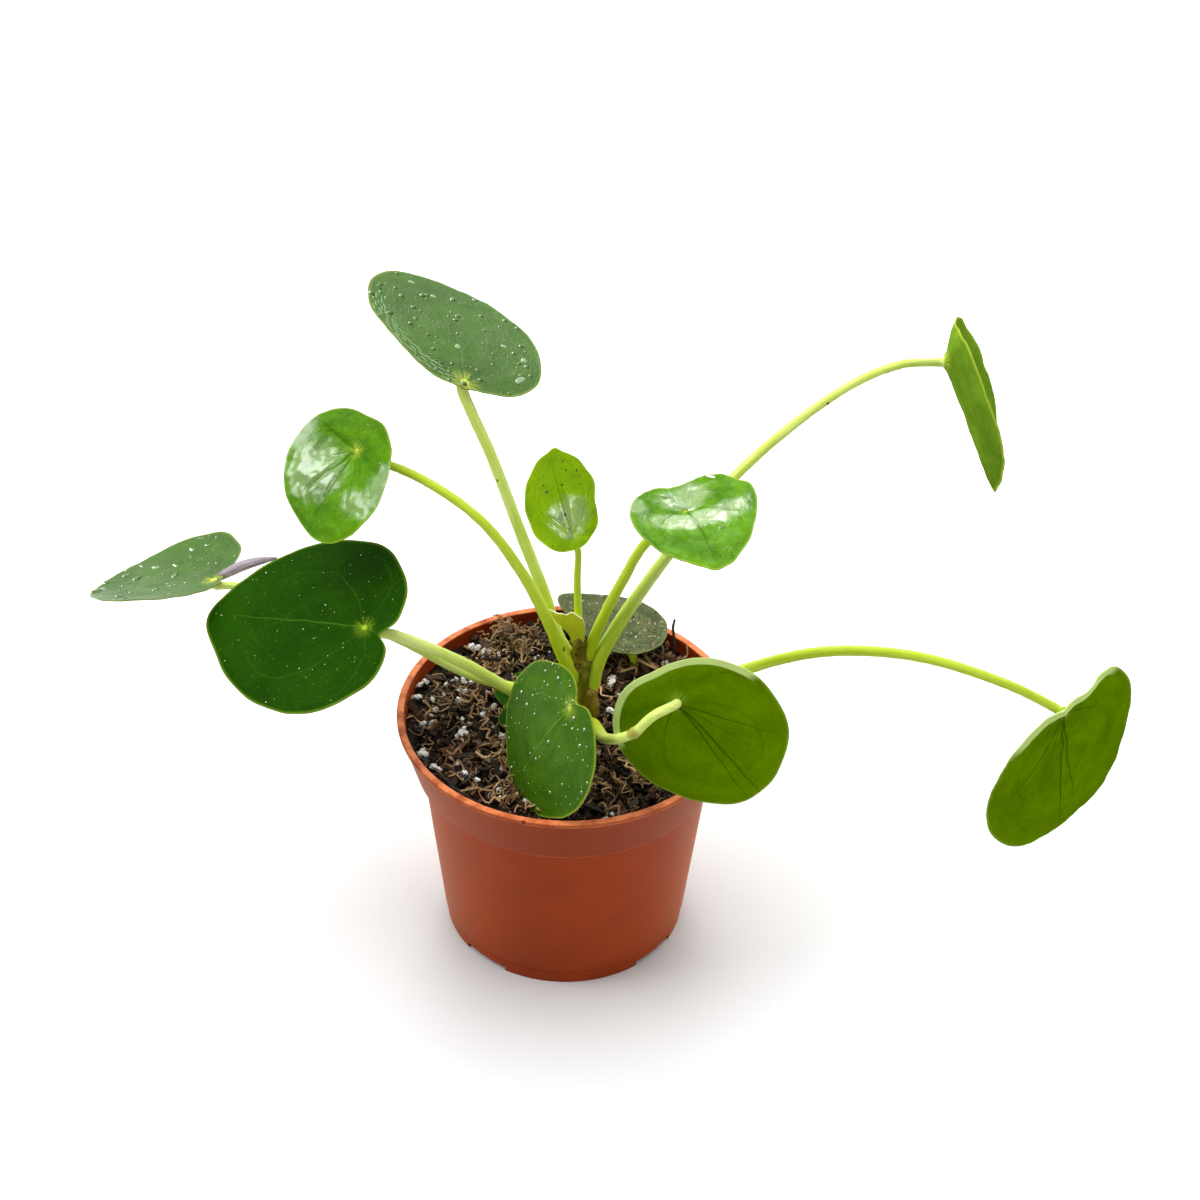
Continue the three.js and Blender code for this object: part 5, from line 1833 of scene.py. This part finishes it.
class PILEA_OT_drops(bpy.types.Operator):
    """Set water drops on the blades"""

    bl_idname = "pilea.drops"
    bl_label = "Water drops"

    def execute(self, context):
        share_kept = context.scene.pilea_leaves.wetness
        deselect()
        bpy.ops.mesh.primitive_uv_sphere_add(segments=12, ring_count=8, radius=1)
        model = context.object
        edit(model)
        bpy.ops.mesh.bisect(plane_co=(0, 0, 0), plane_no=(0, 0, 1), clear_inner=True, use_fill=True)
        leave_edit()
        water = water_material()
        for seed, (name, amounts) in enumerate(DROPS.items()):
            leaf = LEAVES[name]
            places = self.drops(random.Random(seed), leaf, share_kept, *amounts)
            places += [self.pool(leaf, *pool) for at, *pool in POOLS if at == name]
            finish_piece(scattered(f"drops_{name}", [model], places), [water], slot_of(leaf["look"]))
        remove(model)
        return {"FINISHED"}

    def drops(self, draw, leaf, share_kept, count, least, most, run):
        """Places of drops that don't touch, most of them small."""
        taken, places = [], []
        while len(places) < count * share_kept:
            share = math.sqrt(draw.random()) * 0.97
            size = least + (most - least) * draw.random() ** 3
            spot, normal = blade_spot(leaf, share, 2 * math.pi * draw.random())
            if any((spot - other).length < size + near + DROP_GAP for other, near in taken):
                continue
            taken.append((spot, size))
            matrix = set_on(spot, normal, -DROP_SINK, draw.uniform(0, FULL_TURN))
            matrix = matrix @ sized(size * draw.uniform(1, run), size, size * draw.uniform(0.4, 0.6))
            places.append((0, matrix, 0.5 * draw.random()))
        return places

    def pool(self, leaf, share, angle, long, wide, way):
        """The place of one larger drop or streak, with the tone that paints it pale, a painted sheen."""
        angle = math.radians(angle)
        way = math.radians(way)
        spot, normal = blade_spot(leaf, share, angle)
        ahead, _ = blade_spot(leaf, share + 0.02 * math.cos(way), angle + 0.03 * math.sin(way))
        side = normal.cross(ahead - spot).normalized()
        turn = Matrix((side.cross(normal), side, normal)).transposed().to_4x4()
        sunk = Matrix.Translation(spot - normal * DROP_SINK)
        return 0, sunk @ turn @ sized(long, wide, min(0.8, 0.35 * wide)), 1.0


class PILEA_PT_panel(bpy.types.Panel):
    """Lists the plant's pieces and their settings"""

    bl_idname = "PILEA_PT_panel"
    bl_label = "Potted Pilea"
    bl_space_type = "VIEW_3D"
    bl_region_type = "UI"
    bl_category = "Pilea"

    def draw(self, context):
        layout = self.layout
        for settings, names in (
                (context.scene.pilea_look, ("overhead", "left", "right", "back", "backdrop", "front",
                                            "floor_colour")),
                (context.scene.pilea_pot, ("rounding", "crumbs", "chips", "grains", "fibres")),
                (context.scene.pilea_leaves, ("blade", "edge", "wetness"))):
            for name in names:
                layout.prop(settings, name)
        for operator in OPERATORS:
            layout.operator(operator.bl_idname)


PROPERTIES = {"pilea_look": PILEA_PG_look, "pilea_pot": PILEA_PG_pot, "pilea_leaves": PILEA_PG_leaves}
OPERATORS = [PILEA_OT_stage, PILEA_OT_pot, PILEA_OT_soil, PILEA_OT_trunk, PILEA_OT_bud,
             PILEA_OT_leaves, PILEA_OT_bract, PILEA_OT_drops, PILEA_OT_dust]
CLASSES = [*PROPERTIES.values(), *OPERATORS, PILEA_PT_panel]


def register():
    for one in CLASSES:
        bpy.utils.register_class(one)
    for name, kind in PROPERTIES.items():
        setattr(bpy.types.Scene, name, PointerProperty(type=kind))


def unregister():
    for name in PROPERTIES:
        delattr(bpy.types.Scene, name)
    for one in reversed(CLASSES):
        bpy.utils.unregister_class(one)


def main():
    register()
    build_vein_group()
    build_leaf_group()
    bpy.ops.pilea.stage()
    bpy.ops.pilea.pot()
    bpy.ops.pilea.soil()
    bpy.ops.pilea.trunk()
    bpy.ops.pilea.bud()
    bpy.ops.pilea.leaves()
    bpy.ops.pilea.bract()
    bpy.ops.pilea.drops()
    bpy.ops.pilea.dust()
    sizes = {"cad_box": [list(corner) for corner in CAD_BOX],
             "visual_box": [list(corner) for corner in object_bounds()]}


if __name__ == "__main__":
    main()
